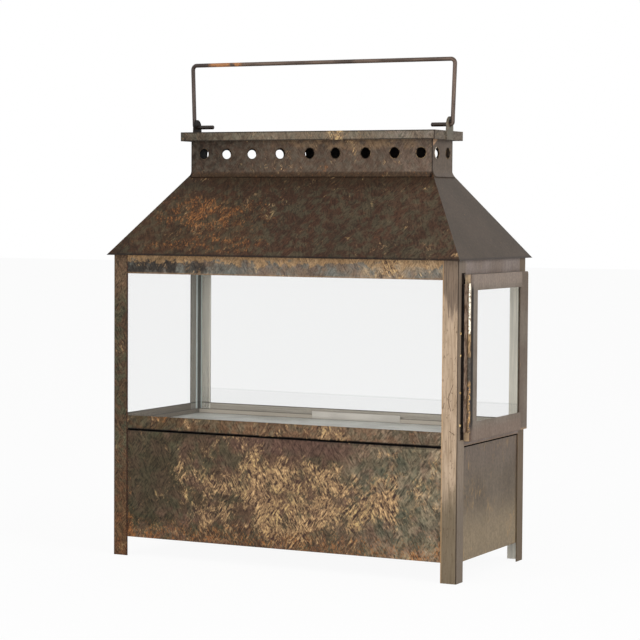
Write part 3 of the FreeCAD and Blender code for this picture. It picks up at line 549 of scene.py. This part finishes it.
# Each scratch: x and z of one end, then of the other.
SCRATCHES = ((204.8, 209.2, 198.9, 193.7), (198.9, 193.7, 202.5, 181.1), (200.9, 160.2, 207, 156.5))


def corner_line(paint):
    """A dark line down the rounded corner of a post."""
    return paint.step(abs(paint.x), *CORNER_X) * paint.step(abs(paint.y), *CORNER_Y)


def dark_post_marks(paint, tone, gold, rust):
    foot = paint.step(paint.z, 130, 20)
    flange_ends = paint.step(abs(paint.x), *FLANGE_X) + paint.step(abs(paint.y), *FLANGE_Y)
    tone = paint.mix(tone, DARK_POST["foot"], foot * 0.5)
    tone = paint.mix(tone, DARK_POST["top"], paint.step(paint.z, 280, 312) * 0.7)
    tone = paint.mix(tone, DARK_POST["edge"], flange_ends * 0.9)
    tone = paint.mix(tone, BLACK, corner_line(paint) * 0.7)
    return tone, gold, rust + foot * 0.3


def rubbed_post(name, tones, marked):
    """A rubbed post, brushed upright; marked is 1 for one with a dark top and
    scratches, and 0 for a plain one."""
    paint = Paint(name)
    brushed = paint.strokes(22, 1.3, 0, seed=4, curl=0.3)
    coarse = paint.strokes(34, 4, 0, seed=6, curl=0.5, detail=4.0)
    tone = paint.mix(tones["dark"], tones["light"], paint.step(brushed * 0.6 + coarse * 0.5, 0.42, 0.62))
    top = paint.step(paint.z + (coarse - 0.5) * 70 + (brushed - 0.5) * 20, 280, 297) * marked
    tone = paint.mix(tone, paint.mix(POST_WEAR["top_dark"], POST_WEAR["top_light"], brushed), top * 0.92)
    foot = paint.step(paint.z + (coarse - 0.5) * 60, 120, 70)
    tone = paint.mix(tone, POST_WEAR["foot"], foot * 0.85)
    tone = paint.mix(tone, POST_WEAR["rim"], paint.step(abs(paint.x), *RIM_X) * 0.6)
    tone = paint.mix(tone, tones["side"], (paint.x > SIDE_FACE) * 0.8)
    for ends in SCRATCHES:
        tone = paint.mix(tone, POST_WEAR["scratch"], paint.scratch(*ends) * marked * 0.8)
    flecks = paint.step(paint.strokes(4, 1.6, 10, seed=9), 0.6, 0.68)
    tone = paint.mix(tone, POST_WEAR["fleck"], flecks * 0.55)
    tone = paint.shade(tone, 0.7 + brushed * 0.6)
    tone = paint.mix(tone, POST_WEAR["corner"], corner_line(paint) * 0.85)
    tone, inside = bare_inside(paint, tone, "z", FRAME_WALLS, "post")
    return paint.done(tone, rough=0.45, metal=inside * INNER["post"]["shine"], relief=brushed, depth=0.08)


dress("post_front_left post_rear_left", patina(
    "patina_post", DARK_POST, cast_share=0.6, gold_share=0.06, rust_share=0.15, marks=dark_post_marks, run="z",
    inner="post", size=0.8, mottle=0.4, thin="xy", grain=3.4))
dress("post_front_right", rubbed_post("tan_post", TAN_POST, 1.0))
dress("post_rear_right", rubbed_post("brown_post", BROWN_POST, 0.0))

# %% [markdown]
# Collar and cap. The collar is dark at the left and paler to the right, partly its own patina and partly painted
# shade and light, with a golden haze under the cap; its flared foot is dark brown, with a line of painted shade
# at its base. The cap is painted darker towards its left end, as shade, and has a thin dark line along both edges
# of its rim; its left ear stands in painted shade.

# %% Collar and cap
COLLAR = palette(left=(42, 32, 22), middle=(80, 65, 53), right=(104, 88, 76), clouds=(82, 64, 52),
                 cast=(92, 86, 74), haze=(134, 108, 80), foot=(60, 45, 32))
END_COLLAR = palette(satin=(88, 76, 65), warm=(82, 69, 58), foot=(50, 38, 30), bare_tip=(184, 146, 112))
CAP = palette(left=(42, 36, 26), middle=(108, 94, 78), right=(126, 115, 104), clouds=(104, 90, 74),
              cast=(104, 102, 88), rim=(36, 28, 22), end=(86, 76, 65), corner=(40, 30, 24))
EAR = palette(ground=(106, 98, 86), clouds=(90, 80, 68), cast=(96, 97, 86), shade=(18, 14, 12), eye=(26, 20, 17))
EYE_Z = 484.2


def collar_marks(paint, tone, gold, rust):
    # Painted shade: the left end of the collar is darkened.
    tone = paint.shade(tone, 1 - paint.step(paint.x, -40, -140) * 0.24)
    haze = paint.patch(50, 464, 90, 8, 0.8) * paint.clouds(9, 0.35, 0.6, seed=31, detail=4.0)
    tone = paint.mix(tone, COLLAR["haze"], haze * 0.6)
    foot = paint.step(paint.z, 433.0, 430.4)
    tone = paint.mix(tone, COLLAR["foot"], foot * 0.85)
    # Painted shade: black lines at the collar's base and in the notch at each corner of its foot.
    under = paint.step(paint.z, 426.6, 425.9)
    tone = paint.mix(tone, BLACK, under * 0.8)
    notch = paint.step(abs(paint.x), 146.8, 147.6) * paint.step(paint.z, 431.0, 429.5)
    tone = paint.mix(tone, BLACK, notch * 0.9)
    seam = paint.step(abs(paint.x), 148.0, 148.6)
    tone = paint.mix(tone, BLACK, seam * 0.75)
    blotch = paint.patch(68, 462, 44, 7, 0.6)
    spot = paint.patch(17, 436, 8, 4, 0.8)
    return tone, gold * paint.step(paint.x, -100, 0) + blotch * 0.12, rust + foot * 0.22 + spot * 0.5


def end_collar_marks(paint, tone):
    # Painted shade: a dark band at the base of the end walls.
    tone = paint.mix(tone, END_COLLAR["foot"], paint.step(paint.z, 427.0, 425.9) * 0.8)
    bare_tip = paint.step(paint.z - (paint.y + 27) * 0.6, 457.5, 459.5)
    return paint.mix(tone, END_COLLAR["bare_tip"], bare_tip * 0.75)


def cap_marks(paint, tone, gold, rust):
    # Painted shade: the left end of the cap is darkened.
    tone = paint.shade(tone, 1 - paint.step(paint.x, -90, -160) * 0.3)
    rim = paint.step(paint.z, 474.5, 475.2) * 0.8 + paint.step(paint.z, 467.6, 466.9)
    tone = paint.mix(tone, CAP["rim"], rim * 0.85)
    tone = paint.mix(tone, CAP["end"], paint.step(paint.x, 155.8, 156.4) * 0.8)
    corner = paint.step(abs(paint.x), 155.4, 156.0) * paint.step(abs(paint.y), 37.8, 38.4)
    tone = paint.mix(tone, CAP["corner"], corner * 0.8)
    worn = paint.patch(30, 471, 34, 9, 0.8) * 0.75 + paint.patch(137, 471, 7, 7, 0.6) * 0.4
    return tone, gold + worn * 0.45, rust


def ear_marks(paint, tone, gold, rust):
    tone = paint.mix(tone, EAR["shade"], (paint.x < 0) * 0.96)
    away = paint.node("ShaderNodeCombineXYZ", sockets={0: paint.y, 1: paint.z - EYE_Z})
    far = paint.node("ShaderNodeVectorMath", {"operation": "LENGTH"}, {0: away}, out="Value")
    # Painted shade: a dark disc above the rod stands for the shaded opening of the ear's hole.
    return paint.mix(tone, EAR["eye"], paint.step(far, 4.9, 3.9) * 0.9), gold, rust


dress("collar_front collar_rear", patina(
    "patina_collar", COLLAR, cast_share=0.4, gold_share=0.2, rust_share=0.08, marks=collar_marks,
    walls={"x": 138, "y": 25.9}, inner="soot", size=0.8, mottle=0.3, grain=1.7))
dress("collar_right collar_left", satin(
    "satin_collar", END_COLLAR, streak=0.2, marks=end_collar_marks, walls={"x": 148.45}, inner="soot"))
dress("cap", patina(
    "patina_cap", CAP, cast_share=0.4, gold_share=0.16, rust_share=0.03, marks=cap_marks, walls={},
    inner="soot", size=0.8, mottle=0.4))
dress("bail_ear_right bail_ear_left", patina(
    "patina_ear", EAR, cast_share=0.4, gold_share=0.05, rust_share=0.05, marks=ear_marks, walls={},
    size=0.5, thin="xy"))

# %% [markdown]
# Bail. A drawn rod takes its shine in fine lines along its length. Hands have
# rubbed a warm patch near the left end of the top. Its left leg is painted darker, as shade, and the ends
# that turn in through the ears are darker.

# %% Bail
ROD = palette(dark=(56, 44, 36), light=(98, 80, 68), left=(44, 32, 26), handled=(166, 110, 62), tail=(30, 23, 19))


def rod_finish():
    paint = Paint("bail_rod")
    drawn = paint.strokes(30, 1.5, 0, seed=3, curl=0.3, thin="y")
    tone = paint.mix(ROD["dark"], ROD["light"], paint.step(drawn, 0.32, 0.68))
    # Painted shade: the left leg is darker.
    tone = paint.mix(tone, ROD["left"], paint.step(paint.x, -110, -150) * 0.7)
    handled = paint.step(paint.z, 540, 552) * paint.step(abs(paint.x + 120), 24, 16)
    tone = paint.mix(tone, ROD["handled"], handled * paint.clouds(9, 0.3, 0.5, seed=8) * 0.8)
    tails = paint.step(paint.z, 487.5, 485.5) * (abs(paint.x) < 156)
    tone = paint.mix(tone, ROD["tail"], tails * 0.8)
    return paint.done(tone, rough=0.38, metal=0.2, relief=drawn, depth=0.05, gloss=0.35)


dress("bail", rod_finish())

# %% [markdown]
# Door. Its frame is the same satin sheet, with a golden edge at the hinge where
# it's handled, and a browner stile at the closing side.

# %% Door
DOOR_WALLS = {"x": 216.4, "y": 76.9}
DOOR = palette(satin=(114, 103, 92), warm=(104, 92, 80), handled=(250, 214, 158), bend=(20, 13, 9),
               edge=(60, 44, 34), low=(114, 95, 82), high=(130, 115, 104))
CLOSING = palette(satin=(104, 92, 80), warm=(94, 80, 68), foot=(160, 128, 92))


def door_marks(paint, tone):
    flange = (paint.y < -DOOR_WALLS["y"]) * (paint.x < DOOR_WALLS["x"])
    tone = paint.mix(tone, DOOR["handled"], flange * (0.6 + paint.clouds(6, 0.35, 0.6, seed=12) * 0.4))
    # Painted shade: a near-black line in the bend between the hinge and the stile.
    bend = paint.step(paint.y, -72.4, -73.6) * paint.step(paint.x, 216.3, 216.8)
    tone = paint.mix(tone, DOOR["bend"], bend)
    # Painted shadow: dark lines along the top and bottom edges of the door.
    edge = paint.step(paint.z, 322.4, 323.3) + paint.step(paint.z, 149.6, 148.8)
    tone = paint.mix(tone, DOOR["edge"], edge * 0.6)
    tone = paint.mix(tone, DOOR["low"], paint.step(paint.z, 170, 156) * 0.7)
    return paint.mix(tone, DOOR["high"], paint.step(paint.z, 306, 316) * 0.7)


def closing_marks(paint, tone):
    return paint.mix(tone, CLOSING["foot"], paint.step(paint.z, 151.5, 149.0) * 0.6)


dress("door_hinge_stile door_top_rail door_bottom_rail", satin(
    "satin_door", DOOR, streak=0.1, marks=door_marks, run="y", walls=DOOR_WALLS))
dress("door_closing_stile", satin(
    "satin_closing", CLOSING, streak=0.2, marks=closing_marks, walls={"x": 216.3}))

# %% [markdown]
# Hinge. Its top knuckle is polished, with a painted highlight almost white down its middle and painted shade on
# its flanks; every knuckle has painted shade down its right edge. The next is bronze, the third is dull grey and
# the lowest is streaked golden and blue-black. The strip behind it is nearly black, partly its own dark finish
# and partly painted shade in the notch.

# %% Hinge
HINGE = palette(gold=(136, 108, 74), blue_black=(46, 48, 58), bright_pit=(200, 160, 104), grey=(92, 86, 76),
                grey_pit=(60, 52, 46), bronze_dark=(84, 66, 48), bronze=(160, 132, 96), polished=(236, 228, 208),
                pit=(112, 86, 60), flank=(96, 70, 44), right_edge=(44, 30, 20), leaf=(160, 136, 116),
                leaf_dark=(104, 80, 62), leaf_edge=(20, 15, 12))
JAMB = palette(dark=(20, 15, 12), light=(34, 26, 20))
# Places in mm: the pin, the seams between the knuckles from the lowest up, where
# the flat leaf ends beside them, and where its free edge begins, painted dark as shade in the notch.
PIN_X, PIN_Y = 216.4, -79.8
KNUCKLE_SEAMS = (212.5, 237.0, 261.5)
LEAF_END, LEAF_EDGE = 214.4, 210.7
# The way to the right for somebody who stands at the front right of the lantern.
ASIDE_X, ASIDE_Y = 0.89, 0.45


def hinge_finish(name, dull):
    """Worn brass whose wear changes from knuckle to knuckle; the flat leaf
    beside the knuckles stays brown. The top knuckle has a painted highlight down its middle and painted shade on
    its flanks, and every knuckle has painted shade down its right edge. dull takes back the polish of the top
    one, painted highlight and all."""
    paint = Paint(name)
    streaks = paint.strokes(8, 1.1, 6, seed=2)
    pits = paint.clouds(2.2, 0.35, 0.65, seed=3, detail=3.0)
    above = [paint.step(paint.z, seam - 1, seam + 1) for seam in KNUCKLE_SEAMS]
    lowest = paint.mix(HINGE["gold"], HINGE["blue_black"], paint.step(streaks, 0.48, 0.58))
    lowest = paint.mix(lowest, HINGE["bright_pit"], paint.step(pits, 0.7, 0.95) * 0.6)
    grey = paint.mix(HINGE["grey"], HINGE["grey_pit"], pits)
    bronze = paint.mix(HINGE["bronze_dark"], HINGE["bronze"], paint.step(streaks, 0.38, 0.6))
    tone = paint.mix(paint.mix(lowest, grey, above[0]), bronze, above[1])
    aside = (paint.x - PIN_X) * ASIDE_X + (paint.y - PIN_Y) * ASIDE_Y
    # Painted highlight: the top knuckle is pale down its middle, partly its own polish, with painted shade on
    # both flanks.
    polished = paint.mix(HINGE["polished"], HINGE["pit"], paint.step(pits, 0.55, 0.9) * 0.85)
    polished = paint.mix(polished, HINGE["flank"], paint.step(abs(aside), 0.7, 1.5) * 0.9)
    tone = paint.mix(tone, polished, above[2] * (1 - dull))
    # Painted shade down the right edge of every knuckle.
    tone = paint.mix(tone, HINGE["right_edge"], paint.step(aside, 1.1, 1.7) * 0.85)
    leaf = paint.x < LEAF_END
    brown = paint.mix(HINGE["leaf"], HINGE["leaf_dark"], paint.step(streaks, 0.42, 0.58))
    # Painted shade: the leaf is near-black left of its free edge, where it lies in the notch.
    brown = paint.mix(brown, HINGE["leaf_edge"], paint.x < LEAF_EDGE)
    tone = paint.mix(tone, brown, leaf)
    rough = 0.5 - above[2] * 0.2
    return paint.done(tone, rough=rough, metal=0.35 * (1 - leaf), relief=pits, depth=0.12, gloss=0.3)


def jamb_finish():
    paint = Paint("dark_jamb")
    # The strip is nearly black, partly its own dark finish and partly painted shade in the notch.
    smoke = paint.clouds(14, 0.3, 0.7, seed=2)
    return paint.done(paint.mix(JAMB["dark"], JAMB["light"], smoke), rough=0.7, relief=smoke)


dress("hinge_leaf_post", hinge_finish("hinge_brass", 0.0))
dress("hinge_leaf_door", hinge_finish("hinge_brass_door", 0.25))
dress("hinge_pin", hinge_finish("hinge_pin_brass", 0.1))
dress("door_jamb", jamb_finish())

# %% [markdown]
# Tray, tabs and keeper. These are bare steel, brushed along their length. The
# tray is the palest, because the light falls straight on it. Its upturned lip is
# as dull as the rails behind it, so that only the floor of the tray is pale.

# %% Bare steel
TRAY = palette(pale=(214, 214, 208), dull=(192, 191, 184), rear_lip=(184, 174, 160), end_lip=(126, 116, 104),
               behind_keeper=(196, 190, 180))
KEEPER = palette(pale=(212, 206, 197), dull=(196, 190, 181))
TAB = palette(pale=(150, 146, 137), dull=(120, 116, 107))
# Places in mm: the top of the tray's floor, the inner faces of its lip, and the
# middle and half the length of the keeper in front of the rear lip.
FLOOR_TOP = 145.75
LIP_X, LIP_Y = 205.0, 89.6
KEEPER_X, KEEPER_HALF = 3.5, 56.5


def steel(name, tones, run, marks=None):
    """Bare sheet, brushed along the axis in run."""
    paint = Paint(name)
    brushed = paint.strokes(70, 1.4, 0, seed=3, thin="xyz".replace(run, ""), curl=0.1)
    water = paint.clouds(40, 0.3, 0.7, seed=5)
    tone = paint.mix(tones["dull"], tones["pale"], paint.step(brushed * 0.6 + water * 0.4, 0.25, 0.65))
    if marks:
        tone = marks(paint, tone)
    return paint.done(tone, rough=0.45, metal=0.1, relief=brushed, depth=0.04, gloss=0.25)


def tray_marks(paint, tone):
    """Dull lips, with a dark line of painted shade at their foot and one at their top; the end lips are painted
    darker, as shade.
    """
    rear = (paint.y > LIP_Y) * (paint.z > FLOOR_TOP)
    ends = (abs(paint.x) > LIP_X) * (paint.z > FLOOR_TOP)
    tone = paint.mix(tone, TRAY["rear_lip"], rear)
    # Painted shade: the end lips, which face across the lantern, are darker.
    tone = paint.mix(tone, TRAY["end_lip"], ends)
    tone = paint.mix(tone, TRAY["behind_keeper"], rear * (abs(paint.x - KEEPER_X) < KEEPER_HALF))
    # Painted shade: dark lines at the foot and at the top of the lips.
    crease = paint.step(paint.z, 146.7, 146.1) + paint.step(paint.z, LIP_TOP - 1.1, LIP_TOP - 0.4)
    return paint.mix(tone, CREASE, (rear + ends) * crease * 0.75)


dress("candle_tray", steel("tray_steel", TRAY, "x", tray_marks))
dress("glass_keeper", steel("keeper_steel", KEEPER, "x"))
dress("glass_tabs door_glass_tabs", steel("tab_steel", TAB, "z"))

# %% [markdown]
# Panes. Window glass 2 mm thick hardly shows from the front: a faint grey veil,
# and a pale, greenish line where a cut edge catches the light. The panes stay
# see-through for shadows as well, so the candle floor is lit as in daylight.

# %% Glass
GLASS = palette(veil=(150, 158, 156), cut_edge=(236, 247, 244))
VEIL = 0.035
# Height in mm of the faint line that ends the painted shade on the rear pane.
DUST_LINE = 175


def pane(name, edge=None, haze=None):
    """Clear glass; edge(paint) marks its cut edges, haze(paint) what dims it."""
    paint = Paint(name)
    cut_edge = edge(paint) if edge else 0.0
    alpha = VEIL + cut_edge * 0.88
    if haze:
        alpha = alpha + haze(paint)
    return paint.done(paint.mix(GLASS["veil"], GLASS["cut_edge"], cut_edge), rough=0.06, alpha=alpha, gloss=0.3)


def rear_haze(paint):
    """The lower part of the rear pane is painted a little denser up to a faint line: painted shade, a painted
    horizon.
    """
    line = paint.step(abs(paint.z - DUST_LINE + paint.x * 0.004), 1.2, 0.4)
    return paint.step(paint.z, DUST_LINE + 2, DUST_LINE - 2) * 0.04 + line * 0.05


def long_edge(paint):
    return paint.step(abs(paint.x), 203.3, 203.7)


def left_edge(paint):
    return paint.step(abs(paint.y), 87.8, 88.2)


dress("glass_front", pane("pane_front", long_edge))
dress("glass_rear", pane("pane_rear", long_edge, rear_haze))
dress("glass_left", pane("pane_left", left_edge))
dress("door_glass", pane("pane_door"))

# %% [markdown]
# Vent rims. A punch pushes the sheet's edge up into a burr. Each rim is a torus,
# squashed against the wall and roughened; one is made for each vent.

# %% Vent rims
# In metres: the outer faces of the collar, the height of the vents' middles, and
# a rim's radius and thickness.
COLLAR_X = 0.1494
COLLAR_Y = 0.02685
VENT_Z = 0.452
RIM_RADIUS = 0.0062
BURR_RADIUS = 0.00042
# Each vent's place along its wall, as a share of half the wall's length.
VENTS = {
    "front": (-0.889, -0.693, -0.477, -0.238, 0.007, 0.220, 0.465, 0.698, 0.908),
    "rear": (-0.843, -0.639, -0.412, -0.167, 0.064, 0.244, 0.435, 0.673, 0.895),
    "right": (-0.580, 0.550),
    "left": (-0.540, 0.570),
}
TURNS = {"front": 0, "right": 90, "rear": 180, "left": 270}
BURR = palette(dark=(50, 39, 31), golden=(170, 142, 104), crescent=(226, 216, 198))
BURR_FLAT = (1, 1, 0.6)
BURR_ROUGH = 0.00009


def only(thing):
    """Select one object and nothing else."""
    bpy.ops.object.select_all(action="DESELECT")
    thing.select_set(True)
    bpy.context.view_layer.objects.active = thing


def join(parts, name):
    """One object from several, with its place kept in its mesh."""
    only(parts[0])
    for part in parts:
        part.select_set(True)
    bpy.ops.object.join()
    whole = bpy.context.view_layer.objects.active
    bpy.ops.object.transform_apply(location=True, rotation=True, scale=True)
    whole.name = name
    return whole


def roughen(squash, offset, seed):
    """Squash the piece just made along its own axes, shake its points a little
    and put its place in its mesh."""
    piece = bpy.context.object
    bpy.ops.object.mode_set(mode="EDIT")
    bpy.ops.mesh.select_all(action="SELECT")
    bpy.ops.transform.resize(value=squash, orient_type="LOCAL")
    bpy.ops.transform.vertex_random(offset=offset, seed=seed)
    bpy.ops.object.mode_set(mode="OBJECT")
    bpy.ops.object.transform_apply(location=True, rotation=True, scale=True)
    return piece


def burr(place, turn, seed):
    """One rim, standing on the outer face of its wall."""
    bpy.ops.object.select_all(action="DESELECT")
    upright = (math.radians(90), 0, math.radians(turn))
    bpy.ops.mesh.primitive_torus_add(location=place, rotation=upright, major_radius=RIM_RADIUS,
                                     minor_radius=BURR_RADIUS, major_segments=36, minor_segments=8)
    return roughen(BURR_FLAT, BURR_ROUGH, seed)


def burr_finish():
    """Dark metal that is worn golden towards the right; the front vent of the
    right wall catches the light."""
    paint = Paint("burr_metal")
    flake = paint.clouds(3.0, 0.4, 0.62, seed=4, detail=3.0)
    polished = paint.step(paint.x, 50, 70) * 0.3 + 0.15
    tone = paint.mix(BURR["dark"], BURR["golden"], flake * polished)
    crescent = (paint.x > 149.0) * (paint.y < -16.5)
    tone = paint.mix(tone, BURR["crescent"], crescent * 0.8)
    return paint.done(tone, rough=0.5, metal=0.15, relief=flake)


burr_metal = burr_finish()
for side, shares in VENTS.items():
    angle = math.radians(TURNS[side])
    # The end walls stand between the long ones, so they are a sheet shorter.
    half, wall = (COLLAR_X, COLLAR_Y) if side in ("front", "rear") else (COLLAR_Y - MM, COLLAR_X)
    rims = []
    for count, share in enumerate(shares):
        flat = Vector((share * half, -wall, VENT_Z))
        flat.rotate(Matrix.Rotation(angle, 3, "Z"))
        rims.append(burr(flat, TURNS[side], seed=count + 1))
    rim = join(rims, "vent_rims_" + side)
    wear(rim, burr_metal)
    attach(rim, "lantern")
    print(rim.name, len(rim.data.polygons), "faces")

# %% [markdown]
# Solder. The smith left beads where the fixed leaf of the hinge is tacked to the
# post. A ball that is flattened on the sheet and roughened a little looks like a
# cooled drop, where a plain sphere wouldn't.

# %% Solder drops
low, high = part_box("solder_beads")
BEAD_X = low.x
BEAD_Y = (low.y + high.y) / 2
BEAD_PROUD = 0.0001
BEAD_RADIUS = 0.0013
BEAD_FLAT = (0.7, 1.0, 1.2)
HINGE_LOW, HINGE_LONG = 0.1583, 0.155
BEAD_SHARES = (0.05, 0.27, 0.52, 0.67)
SOLDER = palette(dull=(142, 108, 62), bright=(226, 198, 140))


def drop(place, radius, seed):
    """One bead of solder."""
    bpy.ops.object.select_all(action="DESELECT")
    bpy.ops.mesh.primitive_ico_sphere_add(subdivisions=3, radius=radius, location=place)
    ball = roughen(BEAD_FLAT, radius * 0.06, seed)
    bpy.ops.object.shade_smooth()
    return ball


def solder_finish():
    paint = Paint("solder_gold")
    scale = paint.clouds(1.4, 0.35, 0.65, seed=4, detail=3.0)
    tone = paint.mix(SOLDER["dull"], SOLDER["bright"], scale)
    return paint.done(tone, rough=0.3, metal=0.6, relief=scale, depth=0.1, gloss=0.5)


drops = [drop((BEAD_X + BEAD_PROUD, BEAD_Y, HINGE_LOW + share * HINGE_LONG), BEAD_RADIUS, 3 + count)
         for count, share in enumerate(BEAD_SHARES)]
beads = join(drops, "solder_drops")
wear(beads, solder_finish())
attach(beads, "lantern")
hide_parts("solder_beads")
print(beads.name, len(drops), "beads,", len(beads.data.polygons), "faces")

# %% [markdown]
# Floor and surround. The photograph is a cut-out on white, so the floor is
# nearly white: part of it glows for the camera and the rest takes the soft
# shadow. The surround is white to the eye, and gives a plain, weaker light.

# %% Floor and surround
FLOOR_SIZE = 24
FLOOR_WHITE = (0.9, 0.9, 0.9, 1)
FLOOR_GLOW = 0.93
SURROUND = 0.55


def seen_white(graph):
    """1 for rays that should meet a white backdrop."""
    most = 0.0
    for name in ("Is Camera Ray", "Is Glossy Ray", "Is Transmission Ray"):
        ray = graph.node("ShaderNodeLightPath", out=name)
        most = graph.node("ShaderNodeMath", {"operation": "MAXIMUM"}, {0: ray, 1: most})
    return most


bpy.ops.object.select_all(action="DESELECT")
bpy.ops.mesh.primitive_plane_add(size=FLOOR_SIZE, location=(0, 0, 0))
floor = bpy.context.object
floor.name = "studio_floor"
ground = bpy.data.materials.new("studio_white")
graph = Graph(ground)
matt = graph.node("ShaderNodeBsdfDiffuse", sockets={"Color": FLOOR_WHITE})
glow = graph.node("ShaderNodeEmission")
blend = graph.node("ShaderNodeMixShader", sockets={0: seen_white(graph) * FLOOR_GLOW, 1: matt, 2: glow})
graph.close("ShaderNodeOutputMaterial", blend)
wear(floor, ground)

world = bpy.data.worlds.new("studio")
bpy.context.scene.world = world
graph = Graph(world)
lift = graph.node("ShaderNodeMapRange", sockets={"Value": seen_white(graph), "To Min": SURROUND, "To Max": 1.0})
sky = graph.node("ShaderNodeBackground", sockets={"Color": (1, 1, 1, 1), "Strength": lift})
graph.close("ShaderNodeOutputWorld", sky)
print(floor.name, FLOOR_SIZE, "m wide, in a white", world.name)

# %% [markdown]
# Light. Three large soft boxes leave the shadows soft: one from the upper left,
# one low in front, and the strongest at the right, where the door is.

# %% Soft boxes
MIDDLE = (0, 0, 0.25)


def soft_box(name, place, aim, size, power):
    """A wide lamp that looks at a point; lengths in metres, power in watts."""
    lamp = bpy.data.lights.new(name, "AREA")
    lamp.shape = "RECTANGLE"
    lamp.size, lamp.size_y = size
    lamp.energy = power
    stand = bpy.data.objects.new(name, lamp)
    bpy.context.scene.collection.objects.link(stand)
    stand.location = place
    stand.rotation_euler = (Vector(aim) - Vector(place)).to_track_quat("-Z", "Y").to_euler()
    print(name, power, "W")


soft_box("key_left", place=(-1.4, -2.6, 1.7), aim=MIDDLE, size=(1.6, 1.6), power=20)
soft_box("front_low", place=(0.5, -3.0, 0.55), aim=MIDDLE, size=(1.6, 1.0), power=28)
soft_box("fill_right", place=(2.6, -0.7, 1.2), aim=(0.1, 0, 0.25), size=(1.4, 1.8), power=38)

# %% [markdown]
# Camera. It stands where the photographer's stood, found by matching corners of
# the lantern in the photograph. A long lens keeps the lines nearly parallel.

# %% Camera
YAW = math.radians(26.75)
TILT = math.radians(90 - 2.88)
ROLL = math.radians(0.36)
DISTANCE = 2.4467
SIDESTEP = 0.00156
EYE_HEIGHT = 0.38975
SENSOR = 36
FOCAL_LENGTH = 123.17
eye = Vector((math.sin(YAW) * DISTANCE + math.cos(YAW) * SIDESTEP,
              -math.cos(YAW) * DISTANCE + math.sin(YAW) * SIDESTEP, EYE_HEIGHT))
lens = bpy.data.cameras.new("camera")
lens.sensor_width = SENSOR
lens.lens = FOCAL_LENGTH
camera = bpy.data.objects.new("camera", lens)
bpy.context.scene.collection.objects.link(camera)
look = Matrix.Rotation(YAW, 4, "Z") @ Matrix.Rotation(TILT, 4, "X") @ Matrix.Rotation(ROLL, 4, "Z")
camera.matrix_world = Matrix.Translation(eye) @ look
bpy.context.scene.camera = camera
bpy.context.scene.view_settings.view_transform = "Standard"
# A ray to the far post passes both panes, and each pane has two faces.
bpy.context.scene.cycles.transparent_max_bounces = 32
print("camera with a", FOCAL_LENGTH, "mm lens", DISTANCE, "m away")
